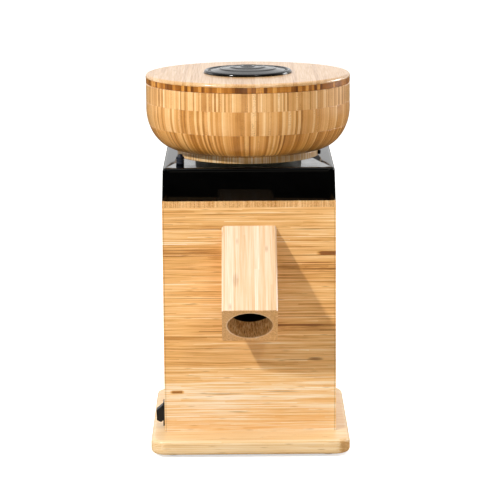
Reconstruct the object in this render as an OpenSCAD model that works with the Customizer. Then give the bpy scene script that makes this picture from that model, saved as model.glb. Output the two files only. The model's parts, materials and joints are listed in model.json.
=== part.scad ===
// Electric grain mill with stone discs in a bamboo housing. Millimetres, +Z up.
// The origin is on the table, under the middle of the whole mill.
// Most pieces are placed from the mill axis, the vertical line of the motor shaft.

/* [Base] */
// Width of the base plate
base_w = 200; // [192:1:220]
// How far the base plate stands out in front of the housing
base_front = 38; // [20:1:50]
// How far the base plate stands out behind the housing
base_back = 12; // [6:1:19]
// Thickness of the base plate
base_t = 15; // [13:0.5:20]
// Corner radius of the base plate, seen from above
base_corner_r = 16; // [10:1:24]
// Rounding of the base plate's edges
base_edge_r = 4; // [2:0.5:5]
// Height of the rubber feet under the base plate
foot_h = 3; // [2.5:0.5:5]
// Radius of a rubber foot
foot_r = 9; // [8:0.5:10]
// Distance of a foot's centre from the base plate's edges
foot_inset = 22; // [18:1:26]
// Side of the square hole in the base plate
base_hole_w = 116; // [100:2:120]
// Width of the ledge that the bottom cover is screwed to
cover_ledge = 9; // [8:0.5:10]
// Thickness of the bottom cover
cover_t = 2.5; // [2:0.25:3]
// Number of vent slots in the bottom cover
cover_slots = 9; // [5:1:9]
// Width of a vent slot in the bottom cover
cover_slot_w = 4; // [3:0.5:5]

/* [Housing] */
// Width of the housing
body_w = 174; // [170:1:182]
// Depth of the housing, front to back
body_d = 174; // [170:1:182]
// Height of the four panels
panel_h = 230.5; // [228:0.5:245]
// Thickness of the panels
panel_t = 12; // [11:0.5:13]
// Thickness of the top board
board_t = 6.5; // [6:0.5:9]
// Side of the glue blocks in the housing's corners
block_w = 12; // [10:0.5:13]
// Height of the glue blocks' lower ends above the base plate
block_z = 42; // [38:1:60]
// Number of vent slots in the rear panel
rear_slots = 7; // [3:1:9]
// Width of a vent slot in the rear panel
rear_slot_w = 4; // [3:0.5:5]
// Length of a vent slot in the rear panel
rear_slot_l = 46; // [20:2:60]
// Height of the vent slots' middle above the base plate
rear_slot_z = 92; // [80:1:110]

/* [Top cap] */
// Height of the top cap
cap_h = 33; // [33:0.5:36]
// How much narrower the cap is at its top than at its foot
cap_draft = 2; // [0:0.5:4]
// Wall of the top cap
cap_wall = 3; // [2.5:0.25:3.5]
// Radius of the cap's upright corners
cap_corner_r = 7; // [5:0.5:10]
// Rounding of the cap's top edge
cap_edge_r = 3; // [2:0.5:4]
// Radius of the index post on the cap
post_r = 4.1; // [3.5:0.1:4.5]
// Height of the index post's ribbed foot
post_h = 7.2; // [6:0.2:8.5]
// Distance of the index post from the mill axis, towards the left
post_x = 69; // [67:0.5:71]
// Distance of the index post from the mill axis, towards the front
post_y = 53; // [51:0.5:55]

/* [Hopper] */
// Outer radius of the hopper bowl
bowl_r = 104.5; // [102:0.5:110]
// Height of the hopper bowl
bowl_h = 67.5; // [64:0.5:80]
// Radius of the flat under the bowl
bowl_foot_r = 71; // [68:0.5:76]
// Height of the bowl's rounded lower side
bowl_curve_h = 42; // [34:1:46]
// Wall of the bowl at its rim
bowl_wall = 8.5; // [7:0.5:10]
// Thickness of the bowl's floor round the throat
bowl_floor = 12; // [11:0.5:15]
// Radius of the hopper ring under the bowl
ring_r = 73; // [71:0.5:76]
// Thickness of the hopper ring's wide part
ring_t = 7.1; // [6:0.1:8]
// Radius of the hopper ring's lower step
ring_step_r = 60; // [58:0.5:60.5]
// Thickness of the hopper ring's lower step
ring_step_t = 0.6; // [0.5:0.1:1.5]
// Inner radius of the feed tube
feed_r = 16; // [14:0.5:16.5]
// Wall of the feed tube
feed_wall = 2; // [1.5:0.25:2.5]

/* [Lid] */
// Thickness of the lid's dark lower layer
band_t = 5.8; // [5:0.1:7]
// Thickness of the lid's pale top
lid_t = 3.7; // [3:0.1:5]
// Depth of the rim under the lid that centres it in the bowl
plug_h = 5; // [3:0.5:8]
// Radius of the pad in the lid's middle
pad_r = 45; // [40:1:50]
// Height of the pad's dome above the lid
pad_h = 6.8; // [5:0.2:8]
// How deep the pad is let into the lid
pad_sink = 1.5; // [1:0.25:2]
// Number of raised rings on the pad
pad_rings = 3; // [1:1:5]

/* [Spout] */
// Side of the spout's square section
spout_w = 55; // [52:0.5:58]
// Radius of the spout's bore
spout_r = 22.5; // [20.5:0.25:23]
// Length of the spout's upper face, along its slope
spout_len = 101; // [92:1:106]
// Slope of the spout below the level
spout_angle = 45; // [44:0.5:47]
// Height of the bore's axis above the base plate, where it leaves the housing
spout_z = 173; // [169:0.5:175]
// Bore radius of the chute inside the housing
chute_r = 15; // [12:0.5:16]
// Wall of the chute
chute_wall = 3.5; // [3:0.25:4]

/* [Mill chamber and stones] */
// Radius of the two mill stones
stone_r = 42.5; // [40:0.5:43]
// Thickness of a mill stone
stone_t = 18; // [17:0.5:19]
// Gap between the two stones as drawn
stone_gap = 1.4; // [1.3:0.1:1.6]
// Radius of the hole in the upper stone
eye_r = 15; // [14:0.5:15.5]
// Radius of the hole in the lower stone
stone_bore_r = 10; // [9:0.5:11]
// Inner radius of the chamber round the lower stone
chamber_r = 48; // [46.5:0.5:48.5]
// Inner radius of the chamber's neck
neck_r = 58; // [57:0.5:58.5]
// Wall of the chamber's neck and cup
chamber_wall = 3; // [2.5:0.25:3.2]
// Thickness of the chamber's floor
chamber_floor = 4; // [3:0.5:5]
// Gap under the turning stone hub
hub_gap = 2; // [1.5:0.25:3]
// Thickness of the stone hub
hub_t = 8; // [7:0.5:9]
// Number of sweeper blades on the stone hub
hub_blades = 4; // [2:1:6]
// Thickness of the upper stone's carrier
carrier_t = 6; // [5:0.5:6]
// Height of the spring ledge above the chamber's floor
ledge_z = 26; // [24:0.5:27]

/* [Fineness thread] */
// Outer radius of the thread collar
collar_r = 54; // [53.5:0.25:54.5]
// Inner radius of the thread collar
collar_bore_r = 44; // [42:0.5:46]
// Running clearance between the collar and the thread ring
thread_clear = 0.3; // [0.2:0.05:0.5]
// Travel of the upper stone below its drawn place
stone_down = 1; // [0.6:0.1:1.1]
// Travel of the upper stone above its drawn place
stone_up = 1.5; // [1:0.1:2]
// Radius of a guide pin
pin_r = 2; // [1.75:0.25:2.25]
// Distance of the guide pins from the mill axis
pin_circle_r = 53; // [52.5:0.25:53.5]
// Wire radius of a carrier spring
spring_wire_r = 0.6; // [0.5:0.1:0.8]
// Mean radius of a carrier spring
spring_r = 3.3; // [3:0.1:3.6]
// Number of turns in a carrier spring
spring_turns = 6; // [4:1:8]

/* [Motor] */
// Radius of the motor
motor_r = 48; // [46:0.5:48.5]
// Length of the stator core
stator_l = 52; // [44:1:58]
// Inner radius of the stator core
stator_bore_r = 28; // [26:0.5:30]
// Air gap between rotor and stator
air_gap = 0.6; // [0.4:0.1:1]
// Depth of each end bell
bell_h = 20; // [19:0.5:22]
// Wall of the end bells
bell_wall = 3.5; // [3:0.25:4]
// Drop from the chamber's underside to the motor's top
motor_drop = 26; // [25:0.5:30]
// Thickness of the rubber mounts
mount_t = 4; // [3:0.5:6]
// Distance of a mount from the mill axis, along X and along Y
mount_x = 38; // [37:0.5:40]
// Radius of the motor shaft
shaft_r = 6; // [5.5:0.25:6.5]
// Outer radius of the motor's bearings
bearing_r = 16; // [15:0.5:17]
// Width of the motor's bearings
bearing_t = 10; // [9:0.5:11]
// Radius of a bearing ball
ball_r = 3; // [2.75:0.05:3]
// Number of balls in a bearing
ball_count = 9; // [6:1:9]
// Radius of the cooling fan
fan_r = 44; // [38:0.5:46]
// Height of the cooling fan
fan_h = 12; // [10:0.5:14]
// Number of fan blades
fan_blades = 9; // [5:1:11]

/* [Switch and electrics] */
// Height of the switch's frame
switch_h = 24.5; // [23:0.5:25]
// Width of the switch's frame
switch_w = 15; // [14.5:0.25:16]
// Height of the switch's middle above the base plate
switch_z = 14; // [13.5:0.5:16]
// Distance of the switch's middle from the housing's front face
switch_y = 23; // [22:0.5:26]
// How far the switch's frame stands out of the panel
bezel_t = 2; // [1.5:0.25:2.5]
// Tilt of the rocker to each side
rocker_tilt = 24; // [22:0.5:25]
// Radius of the cord's hole in the gland
cord_r = 3.6; // [3:0.1:4]
// Distance of the gland from the mill axis, towards the right
gland_x = 48; // [44:1:52]
// Height of the gland above the base plate
gland_z = 20; // [18:1:26]
// Radius of the run capacitor
capacitor_r = 14; // [12:0.5:15]
// Length of the run capacitor
capacitor_l = 52; // [44:1:56]

/* [Fits] */
// Clearance round shafts and pins that slide or turn
run_clear = 0.1; // [0.05:0.01:0.1]
// Gap left between pieces of different moving groups that lie on each other
rest_gap = 0.1; // [0.05:0.05:0.2]
// Clearance round a piece that stands in a hole
hole_clear = 0.3; // [0.2:0.05:0.5]

/* [Fasteners] */
// Thread radius of the wood screws
wood_screw_r = 2; // [1.75:0.05:2.1]
// Head radius of the wood screws
wood_head_r = 3.8; // [3.5:0.1:4]
// Thread radius of the machine bolts
bolt_r = 2.5; // [2:0.1:2.6]
// Head radius of the machine bolts
bolt_head_r = 4.2; // [4:0.1:4.5]
// Head height of the machine bolts
bolt_head_h = 3.2; // [2.8:0.1:3.5]

/* [Hidden] */
$fn = 72;
hull_fn = 32;
edge_steps = 4;

// Heights above the table
base_top = foot_h + base_t;
board_z = base_top + panel_h;
board_top = board_z + board_t;
cap_top = board_top + cap_h;
ring_z = cap_top + stone_down + 0.4;
ring_wide_z = ring_z + ring_step_t;
bowl_z = ring_wide_z + ring_t;
rim_z = bowl_z + bowl_h;
band_z = rim_z + rest_gap;
lid_z = band_z + band_t;
lid_top_z = lid_z + lid_t;

// The mill axis, measured back from the middle of the whole mill
spout_reach = spout_len * cos(spout_angle);
lid_over = 0.3;
lid_r = bowl_r + lid_over;
mill_y = (body_d / 2 + spout_reach - lid_r) / 2;

// The stack of the chamber, from its floor up
chamber_flange_t = 4;
neck_top = ring_z - stone_down - 0.7;
carrier_gap = rest_gap;
collar_h = 9;
collar_z = ring_z - collar_h;
carrier_z = collar_z - carrier_gap - carrier_t;
upper_stone_z = carrier_z - stone_t;
lower_stone_z = upper_stone_z - stone_gap - stone_t;
hub_z = lower_stone_z - hub_t;
floor_z = hub_z - hub_gap;
cup_z = floor_z - chamber_floor;
ledge_top = floor_z + ledge_z;
chamber_outer_r = neck_r + chamber_wall;
flange_hole_x = 50;
flange_ear_r = 8;
cap_hole_r = chamber_outer_r + hole_clear;

// The stack of the motor, from its top down
motor_top = cup_z - motor_drop;
stator_top = motor_top - bell_h;
stator_z = stator_top - stator_l;
motor_z = stator_z - bell_h;
rotor_r = stator_bore_r - air_gap;
fan_z = motor_z - 5 - fan_h;
shaft_z = fan_z - 4;
nut_h = 6;
shaft_top = lower_stone_z + stone_t + nut_h + 2;
race_in_r = shaft_r + 3;
race_out_r = bearing_r - 3;
ball_path_r = (race_in_r + race_out_r) / 2;
bearing_zs = [motor_top - bell_wall - bearing_t, motor_z + bell_wall];
mount_ear_r = 9;
leg_r = 7;

// The spout's axis, where it crosses the housing's front face
spout_cross_z = base_top + spout_z;
spout_side = spout_len - spout_w / 2 * tan(spout_angle);

corners = [[1, 1], [-1, 1], [-1, -1], [1, -1]];

// Puts a piece drawn on the mill axis in its place
module on_axis() {
    translate([0, mill_y, 0]) children();
}

// A rounded rectangle with true arcs
module rounded_rect(w, d, r) {
    square([w - 2 * r, d], center = true);
    square([w, d - 2 * r], center = true);
    for (c = corners) translate([c[0] * (w / 2 - r), c[1] * (d / 2 - r)]) circle(r);
}

// A ring that stands on z
module tube(outer_r, inner_r, h) {
    difference() {
        cylinder(r = outer_r, h = h);
        translate([0, 0, -1]) cylinder(r = inner_r, h = h + 2);
    }
}

drive_slot_w = 0.9;
drive_slot_deep = 0.9;
screw_tip_r = 0.3;
screw_clear = 10;

// A countersunk screw that points down from the top of its head at z = 0
module flat_screw(l, r = wood_screw_r, head_r = wood_head_r) {
    head_h = head_r - r;
    difference() {
        union() {
            translate([0, 0, -head_h]) cylinder(r1 = r, r2 = head_r, h = head_h);
            translate([0, 0, -l + r]) cylinder(r = r, h = l - r - head_h + 0.01);
            translate([0, 0, -l]) cylinder(r1 = screw_tip_r, r2 = r, h = r);
        }
        for (a = [0, 90]) rotate([0, 0, a]) cube([head_r, drive_slot_w, 2 * drive_slot_deep], center = true);
    }
}

// The hole that a flat_screw stands in
module flat_screw_hole(l, r = wood_screw_r, head_r = wood_head_r) {
    head_h = head_r - r;
    translate([0, 0, -head_h]) cylinder(r1 = r, r2 = head_r, h = head_h);
    translate([0, 0, -l]) cylinder(r = r, h = l);
    cylinder(r = head_r, h = screw_clear);
}

// A machine bolt that points down, with the underside of its head at z = 0
module cap_bolt(l, r = bolt_r, head_r = bolt_head_r, head_h = bolt_head_h) {
    difference() {
        union() {
            cylinder(r = head_r, h = head_h);
            translate([0, 0, -l]) cylinder(r = r, h = l + 0.01);
        }
        translate([0, 0, head_h / 2]) cylinder(r = head_r * 0.55, h = head_h, $fn = 6);
    }
}

// ---- base ----

base_d = body_d + base_front + base_back;
base_mid_y = (base_back - base_front) / 2;
cover_w = base_hole_w + 2 * cover_ledge;
foot_places = [for (c = corners) [c[0] * (base_w / 2 - foot_inset),
                                  base_mid_y + c[1] * (base_d / 2 - foot_inset)]];
cover_screw_x = base_hole_w / 2 + cover_ledge / 2;
cover_margin = 11;
panel_screw_x = 40;
panel_screw_bite = 14;
panel_screw_l = base_t + panel_screw_bite;
panel_line_x = body_w / 2 - panel_t / 2;
panel_line_y = body_d / 2 - panel_t / 2;
panel_screw_places = concat(
    [for (s = [-1, 1], t = [-1, 1]) [s * panel_screw_x, t * panel_line_y]],
    [for (s = [-1, 1], t = [-0.4, 1]) [s * panel_line_x, t * panel_screw_x]]
);

// The base plate's slab: two bars with rounded edges that cross, and a round corner piece at each corner
module base_slab() {
    r = base_corner_r;
    translate([0, base_mid_y, foot_h + base_t / 2]) {
        rotate([90, 0, 0]) linear_extrude(base_d - 2 * r, center = true) rounded_rect(base_w, base_t, base_edge_r);
        rotate([90, 0, 90]) linear_extrude(base_w - 2 * r, center = true) rounded_rect(base_d, base_t, base_edge_r);
        for (c = corners) translate([c[0] * (base_w / 2 - r), c[1] * (base_d / 2 - r), 0]) rotate_extrude() {
            translate([0, -base_t / 2]) square([r - base_edge_r, base_t]);
            translate([0, -base_t / 2 + base_edge_r]) square([r, base_t - 2 * base_edge_r]);
            for (s = [-1, 1]) translate([r - base_edge_r, s * (base_t / 2 - base_edge_r)]) circle(base_edge_r);
        }
    }
}

module base_plate() {
    color("burlywood") on_axis() difference() {
        base_slab();
        translate([-base_hole_w / 2, -base_hole_w / 2, foot_h - 1]) cube([base_hole_w, base_hole_w, base_t + 2]);
        translate([-cover_w / 2, -cover_w / 2, foot_h - 1]) cube([cover_w, cover_w, cover_t + 1]);
        for (p = panel_screw_places) translate([p[0], p[1], foot_h]) mirror([0, 0, 1]) flat_screw_hole(panel_screw_l);
        for (p = foot_places) translate([p[0], p[1], foot_h - 1]) cylinder(r = wood_screw_r, h = base_t - foot_screw_short + 1);
        for (c = corners) translate([c[0] * cover_screw_x, c[1] * cover_screw_x, foot_h])
            cylinder(r = wood_screw_r, h = base_t - cover_screw_short + 1);
    }
}

module bottom_cover() {
    slot_pitch = (base_hole_w - 2 * cover_margin) / cover_slots;
    slot_l = base_hole_w - 2 * cover_margin;
    color("dimgray") on_axis() translate([0, 0, foot_h]) difference() {
        translate([0, 0, cover_t / 2]) cube([cover_w - 2 * hole_clear, cover_w - 2 * hole_clear, cover_t], center = true);
        for (i = [0 : cover_slots - 1]) translate([(i - (cover_slots - 1) / 2) * slot_pitch, 0, cover_t / 2])
            cube([cover_slot_w, slot_l, cover_t + 2], center = true);
        for (c = corners) translate([c[0] * cover_screw_x, c[1] * cover_screw_x, 0])
            mirror([0, 0, 1]) flat_screw_hole(cover_t + 2);
    }
}

foot_recess = 1;
foot_head_in = 0.3;
foot_screw_short = 4;
cover_screw_short = 5;

module feet() {
    color("black") on_axis() for (p = foot_places) translate([p[0], p[1], 0]) difference() {
        cylinder(r = foot_r, h = foot_h);
        translate([0, 0, -1]) cylinder(r = wood_screw_r, h = foot_h + 2);
        translate([0, 0, -0.01]) cylinder(r = wood_head_r + hole_clear, h = foot_recess + 0.01);
    }
}

// The screws that enter from below: through the feet, the bottom cover and the base plate into the panels
module base_screws() {
    color("silver") on_axis() {
        for (p = foot_places) translate([p[0], p[1], foot_recess]) foot_screw();
        for (c = corners) translate([c[0] * cover_screw_x, c[1] * cover_screw_x, foot_h])
            mirror([0, 0, 1]) flat_screw(base_t - cover_screw_short);
        for (p = panel_screw_places) translate([p[0], p[1], foot_h]) mirror([0, 0, 1]) flat_screw(panel_screw_l);
    }
}

// A pan-head screw that points up, with the top of its head at z = 0
module foot_screw() {
    head_h = foot_recess - foot_head_in;
    difference() {
        union() {
            translate([0, 0, -head_h]) cylinder(r = wood_head_r, h = head_h);
            cylinder(r = wood_screw_r, h = base_t - foot_screw_short);
        }
        translate([0, 0, -head_h]) cube([wood_head_r * 1.2, drive_slot_w, head_h], center = true);
    }
}

// ---- housing ----

// A cylinder along the spout's axis, from one distance before the front face to one behind it
module along_spout(r, out, back) {
    translate([0, -body_d / 2, spout_cross_z]) rotate([90 + spout_angle, 0, 0])
        translate([0, 0, -back]) cylinder(r = r, h = out + back);
}

module panel(w, t) {
    translate([-w / 2, -t / 2, base_top]) cube([w, t, panel_h]);
}

module front_panel() {
    color("burlywood") on_axis() difference() {
        translate([0, -panel_line_y, 0]) panel(body_w, panel_t);
        along_spout(spout_r, spout_w, spout_w);
        panel_screw_holes();
        spout_pegs(1);
    }
}

module rear_panel() {
    slot_pitch = rear_slot_w * 2.4;
    color("burlywood") on_axis() difference() {
        translate([0, panel_line_y, 0]) panel(body_w, panel_t);
        for (i = [0 : rear_slots - 1])
            translate([(i - (rear_slots - 1) / 2) * slot_pitch, panel_line_y, base_top + rear_slot_z])
                cube([rear_slot_w, panel_t + 2, rear_slot_l], center = true);
        translate([gland_x, panel_line_y, base_top + gland_z]) rotate([90, 0, 0])
            cylinder(r = gland_body_r, h = panel_t + 2, center = true);
        panel_screw_holes();
    }
}

module side_panel(side) {
    on_axis() difference() {
        translate([side * panel_line_x, 0, 0]) rotate([0, 0, 90]) panel(body_d - 2 * panel_t, panel_t);
        panel_screw_holes();
        if (side < 0) switch_place() translate([-1, -switch_body_w / 2, -switch_body_h / 2])
            cube([panel_t + 2, switch_body_w, switch_body_h]);
    }
}

module left_panel() { color("burlywood") side_panel(-1); }
module right_panel() { color("burlywood") side_panel(1); }

module panel_screw_holes() {
    for (p = panel_screw_places) translate([p[0], p[1], foot_h - 0.01]) mirror([0, 0, 1])
        translate([0, 0, -panel_screw_l]) cylinder(r = wood_screw_r, h = panel_screw_l);
}

block_x = body_w / 2 - panel_t - block_w / 2;
block_y = body_d / 2 - panel_t - block_w / 2;
board_screw_l = 20;

module corner_blocks() {
    color("peru") on_axis() for (c = corners) translate([c[0] * block_x, c[1] * block_y, 0]) difference() {
        translate([-block_w / 2, -block_w / 2, base_top + block_z]) cube([block_w, block_w, panel_h - block_z]);
        translate([0, 0, board_top - board_screw_l]) cylinder(r = wood_screw_r, h = board_screw_l);
    }
}

cap_screw_r = 1.6;
cap_screw_bite = 14;
cap_screw_head_r = 3;
cap_screw_head_h = 2;
cap_boss_r = 3.6;
cap_boss_in = 0.6;
cap_boss_x = body_w / 2 - panel_t - cap_boss_r - cap_boss_in;
cap_boss_y = 36;
cap_boss_places = [for (c = corners) [c[0] * cap_boss_x, c[1] * cap_boss_y]];

module top_board() {
    color("wheat") on_axis() difference() {
        translate([-body_w / 2, -body_d / 2, board_z]) cube([body_w, body_d, board_t]);
        translate([0, 0, board_z - 1]) cylinder(r = chamber_outer_r + hole_clear, h = board_t + 2);
        for (c = corners) {
            translate([c[0] * block_x, c[1] * block_y, board_top]) flat_screw_hole(board_screw_l);
            translate([c[0] * flange_hole_x, c[1] * flange_hole_x, board_z - 1]) cylinder(r = bolt_r, h = board_t + 2);
        }
        for (p = cap_boss_places) translate([p[0], p[1], board_z - 1]) cylinder(r = cap_screw_r, h = board_t + 2);
    }
}

module board_screws() {
    color("silver") on_axis() for (c = corners) translate([c[0] * block_x, c[1] * block_y, board_top])
        flat_screw(board_screw_l);
}

// ---- top cap ----

module cap_shell() {
    hull() {
        translate([0, 0, board_top]) linear_extrude(0.01) rounded_rect(body_w, body_d, cap_corner_r, $fn = hull_fn);
        for (i = [0 : edge_steps]) {
            a = i * 90 / edge_steps;
            inset = cap_draft / 2 + cap_edge_r * (1 - sin(a));
            z = cap_top - cap_edge_r * (1 - cos(a)) - 0.01;
            translate([0, 0, z]) linear_extrude(0.01)
                rounded_rect(body_w - 2 * inset, body_d - 2 * inset, cap_corner_r - inset, $fn = hull_fn);
        }
    }
}

module top_cap() {
    inner_w = body_w - cap_draft - 2 * cap_wall;
    inner_d = body_d - cap_draft - 2 * cap_wall;
    color("black") on_axis() {
        difference() {
            cap_shell();
            translate([-inner_w / 2, -inner_d / 2, board_top - 1]) cube([inner_w, inner_d, cap_h - cap_wall + 1]);
            translate([0, 0, cap_top - cap_h]) cylinder(r = cap_hole_r, h = cap_h + 1);
            translate([-post_x, -post_y, cap_top - cap_wall - 1]) cylinder(r = post_stem_r, h = cap_wall + 2);
        }
        for (p = cap_boss_places) translate([p[0], p[1], board_top]) difference() {
            cylinder(r = cap_boss_r, h = cap_h - cap_wall + 0.5);
            translate([0, 0, -1]) cylinder(r = cap_screw_r, h = cap_h - cap_wall - 1);
        }
    }
}

module cap_screws() {
    color("silver") on_axis() for (p = cap_boss_places) translate([p[0], p[1], board_z]) mirror([0, 0, 1])
        cap_bolt(board_t + cap_screw_bite, cap_screw_r, cap_screw_head_r, cap_screw_head_h);
}

post_stem_r = 2;
post_stem_out = 2;
post_neck_h = 2.4;
post_rib = 1.6;
post_groove_w = 0.7;
post_groove_deep = 0.5;

module index_post() {
    color("black") on_axis() translate([-post_x, -post_y, cap_top]) {
        difference() {
            cylinder(r = post_r, h = post_h);
            for (z = [post_rib : post_rib * 1.6 : post_h - post_rib]) translate([0, 0, z])
                tube(post_r + 1, post_r - post_groove_deep, post_groove_w);
        }
        translate([0, 0, post_h - 0.01]) cylinder(r1 = post_r * 0.72, r2 = post_r * 0.6, h = post_neck_h);
        translate([0, 0, -cap_wall - post_stem_out]) cylinder(r = post_stem_r, h = cap_wall + post_stem_out + 0.01);
    }
}

// ---- mill chamber ----

// The plan of four ears at the corners of a square, on arms a little narrower than the ears
module ears(x, arm_from, r) {
    arm_w = 2 * r - 2;
    for (c = corners) {
        translate([c[0] * x, c[1] * x]) circle(r);
        rotate(atan2(c[1], c[0])) translate([arm_from, -arm_w / 2]) square([x * sqrt(2) - arm_from, arm_w]);
    }
}

// The chamber's chute starts inside the cup and ends flush with the inside of the front panel
chute_from = 26;
chute_wall_in = 2;
chute_roof = 3;
chute_room = 20;
chute_drop = 60;
chute_mouth_w = 2 * (chute_r + chute_wall + chute_room);
chute_low = cup_z - chute_drop;
chamber_rim = 4;
chamber_flange_r = chamber_outer_r + chamber_rim;
shaft_room = 1;

module mill_chamber() {
    color("lightgray") on_axis() difference() {
        union() {
            translate([0, 0, cup_z]) cylinder(r = chamber_outer_r, h = neck_top - cup_z);
            translate([0, 0, board_top + gasket_t]) linear_extrude(chamber_flange_t) {
                circle(chamber_flange_r);
                ears(flange_hole_x, chamber_outer_r, flange_ear_r);
            }
            intersection() {
                along_spout(chute_r + chute_wall, 0, body_d);
                translate([-chute_mouth_w / 2, -body_d / 2 + panel_t, chute_low])
                    cube([chute_mouth_w, body_d / 2 - panel_t - chute_from, neck_top - chute_low]);
            }
            for (c = corners) translate([c[0] * mount_x, c[1] * mount_x, motor_top + mount_t])
                cylinder(r = leg_r, h = cup_z - motor_top - mount_t + 0.5);
        }
        translate([0, 0, floor_z]) cylinder(r = chamber_r, h = neck_top - floor_z + 1);
        translate([0, 0, ledge_top]) cylinder(r = neck_r, h = neck_top - ledge_top + 1);
        intersection() {
            along_spout(chute_r, spout_w, body_d);
            translate([-chute_mouth_w / 2, -body_d / 2, chute_low])
                cube([chute_mouth_w, body_d / 2 - chute_from - chute_wall_in, ledge_top - chute_roof - chute_low]);
        }
        translate([0, 0, cup_z - 1]) cylinder(r = shaft_r + shaft_room, h = chamber_floor + 2);
        for (c = corners) {
            translate([c[0] * flange_hole_x, c[1] * flange_hole_x, board_top])
                cylinder(r = bolt_r, h = gasket_t + chamber_flange_t + 1);
            translate([c[0] * mount_x, c[1] * mount_x, motor_top]) cylinder(r = bolt_r, h = mount_t + mount_bolt_sink);
        }
        for (p = guide_pin_places) translate([p[0], p[1], ledge_top - pin_sink]) cylinder(r = pin_r, h = pin_sink + 1);
    }
}

gasket_t = 1;

module chamber_gasket() {
    color("black") on_axis() translate([0, 0, board_top]) difference() {
        linear_extrude(gasket_t) {
            circle(chamber_flange_r);
            ears(flange_hole_x, chamber_outer_r, flange_ear_r);
        }
        translate([0, 0, -1]) cylinder(r = chamber_outer_r, h = gasket_t + 2);
        for (c = corners) translate([c[0] * flange_hole_x, c[1] * flange_hole_x, -1]) cylinder(r = bolt_r, h = gasket_t + 2);
    }
}

nut_t = 4;
nut_r = 4.6;
bolt_end = 1;
flange_bolt_l = board_t + gasket_t + chamber_flange_t + nut_t + bolt_end;

// Each bolt with the nut on its end, under the top board
module chamber_bolts() {
    color("silver") on_axis() for (c = corners) translate([c[0] * flange_hole_x, c[1] * flange_hole_x, 0]) {
        translate([0, 0, board_top + gasket_t + chamber_flange_t]) cap_bolt(flange_bolt_l);
        translate([0, 0, board_z - nut_t]) cylinder(r = nut_r, h = nut_t, $fn = 6);
    }
}

thread_ring_z = carrier_z + carrier_t + stone_up + 0.6;

module thread_ring() {
    color("ivory") on_axis() translate([0, 0, thread_ring_z])
        tube(neck_r, collar_r + thread_clear, neck_top - thread_ring_z);
}

guide_pin_places = [for (a = [90, 210, 330]) [pin_circle_r * cos(a), pin_circle_r * sin(a)]];
pin_sink = 5;
pin_top = collar_z - stone_down - carrier_gap - 0.5;

module guide_pins() {
    color("silver") on_axis() for (p = guide_pin_places) translate([p[0], p[1], ledge_top - pin_sink])
        cylinder(r = pin_r, h = pin_top - ledge_top + pin_sink);
}

// One unbroken coil of wire, swept along a helix with flat-lying ends
spring_ring_steps = 10;
spring_sides = 6;

function spring_point(u, h) =
    let (a = 360 * spring_turns * u)
    [spring_r * cos(a), spring_r * sin(a), spring_wire_r + (h - 2 * spring_wire_r) * u];

module coil_spring(h) {
    rings = spring_turns * spring_ring_steps;
    points = [for (i = [0 : rings], j = [0 : spring_sides - 1])
        let (a = 360 * spring_turns * i / rings, c = spring_point(i / rings, h),
             b = 360 * j / spring_sides, out = spring_wire_r * cos(b), up = spring_wire_r * sin(b))
        [c[0] + out * cos(a), c[1] + out * sin(a), c[2] + up]];
    sides = [for (i = [0 : rings - 1], j = [0 : spring_sides - 1], half = [0, 1])
        let (k = (j + 1) % spring_sides, p = i * spring_sides, q = p + spring_sides)
        half == 0 ? [p + j, q + j, q + k] : [p + j, q + k, p + k]];
    far = rings * spring_sides;
    caps = [for (j = [1 : spring_sides - 2], e = [0, 1]) e == 0 ? [0, j, j + 1] : [far, far + j + 1, far + j]];
    polyhedron(points, concat(sides, caps));
}

module carrier_springs() {
    color("silver") on_axis() for (p = guide_pin_places) translate([p[0], p[1], ledge_top])
        coil_spring(carrier_z - ledge_top);
}

// ---- stones ----

furrows = 8;
furrow_w = 3;
furrow_deep = 1.2;

// Slanting furrows that carry the meal outwards, cut in a stone's grinding face at z = 0
module stone_furrows() {
    for (i = [0 : furrows - 1]) rotate(i * 360 / furrows) translate([eye_r * 0.6, eye_r, -furrow_deep])
        cube([stone_r, furrow_w, 2 * furrow_deep]);
}

module lower_stone() {
    color("gainsboro") on_axis() translate([0, 0, lower_stone_z]) difference() {
        tube(stone_r, stone_bore_r, stone_t);
        translate([0, 0, stone_t]) stone_furrows();
    }
}

module upper_stone() {
    color("gainsboro") on_axis() translate([0, 0, upper_stone_z]) difference() {
        tube(stone_r, eye_r, stone_t);
        mirror([1, 0, 0]) stone_furrows();
        for (a = carrier_screw_angles) rotate(a) translate([carrier_screw_x, 0, stone_t - carrier_screw_bite - 1])
            cylinder(r = wood_screw_r, h = carrier_screw_bite + 2);
    }
}

spigot_r = stone_bore_r;
spigot_below = 2;
hub_step = 6;
blade_w = 4;
blade_clear = 1.2;
blade_below = 1;

module stone_hub() {
    color("silver") on_axis() difference() {
        union() {
            translate([0, 0, hub_z]) cylinder(r = stone_r - hub_step, h = hub_t);
            translate([0, 0, hub_z + hub_t - 0.01]) cylinder(r = spigot_r, h = stone_t - spigot_below);
            for (i = [0 : hub_blades - 1]) rotate(i * 360 / hub_blades)
                translate([0, -blade_w / 2, hub_z]) cube([chamber_r - blade_clear, blade_w, hub_t - blade_below]);
        }
        translate([0, 0, hub_z - 1]) cylinder(r = shaft_r, h = hub_t + stone_t + 2);
    }
}

stone_washer_r = 12;
stone_washer_t = 1.5;
stone_nut_r = 9.5;

module stone_nut() {
    color("silver") on_axis() translate([0, 0, lower_stone_z + stone_t]) difference() {
        union() {
            cylinder(r = stone_washer_r, h = stone_washer_t);
            cylinder(r = stone_nut_r, h = nut_h, $fn = 6);
        }
        translate([0, 0, -1]) cylinder(r = shaft_r, h = nut_h + 2);
    }
}

carrier_screw_x = 30;
carrier_screw_angles = [30, 150, 270];
carrier_edge = 1;
carrier_r = neck_r - carrier_edge;
carrier_eye = 0.6;
carrier_screw_bite = 7;
carrier_screw_l = carrier_t + carrier_screw_bite;

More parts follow.
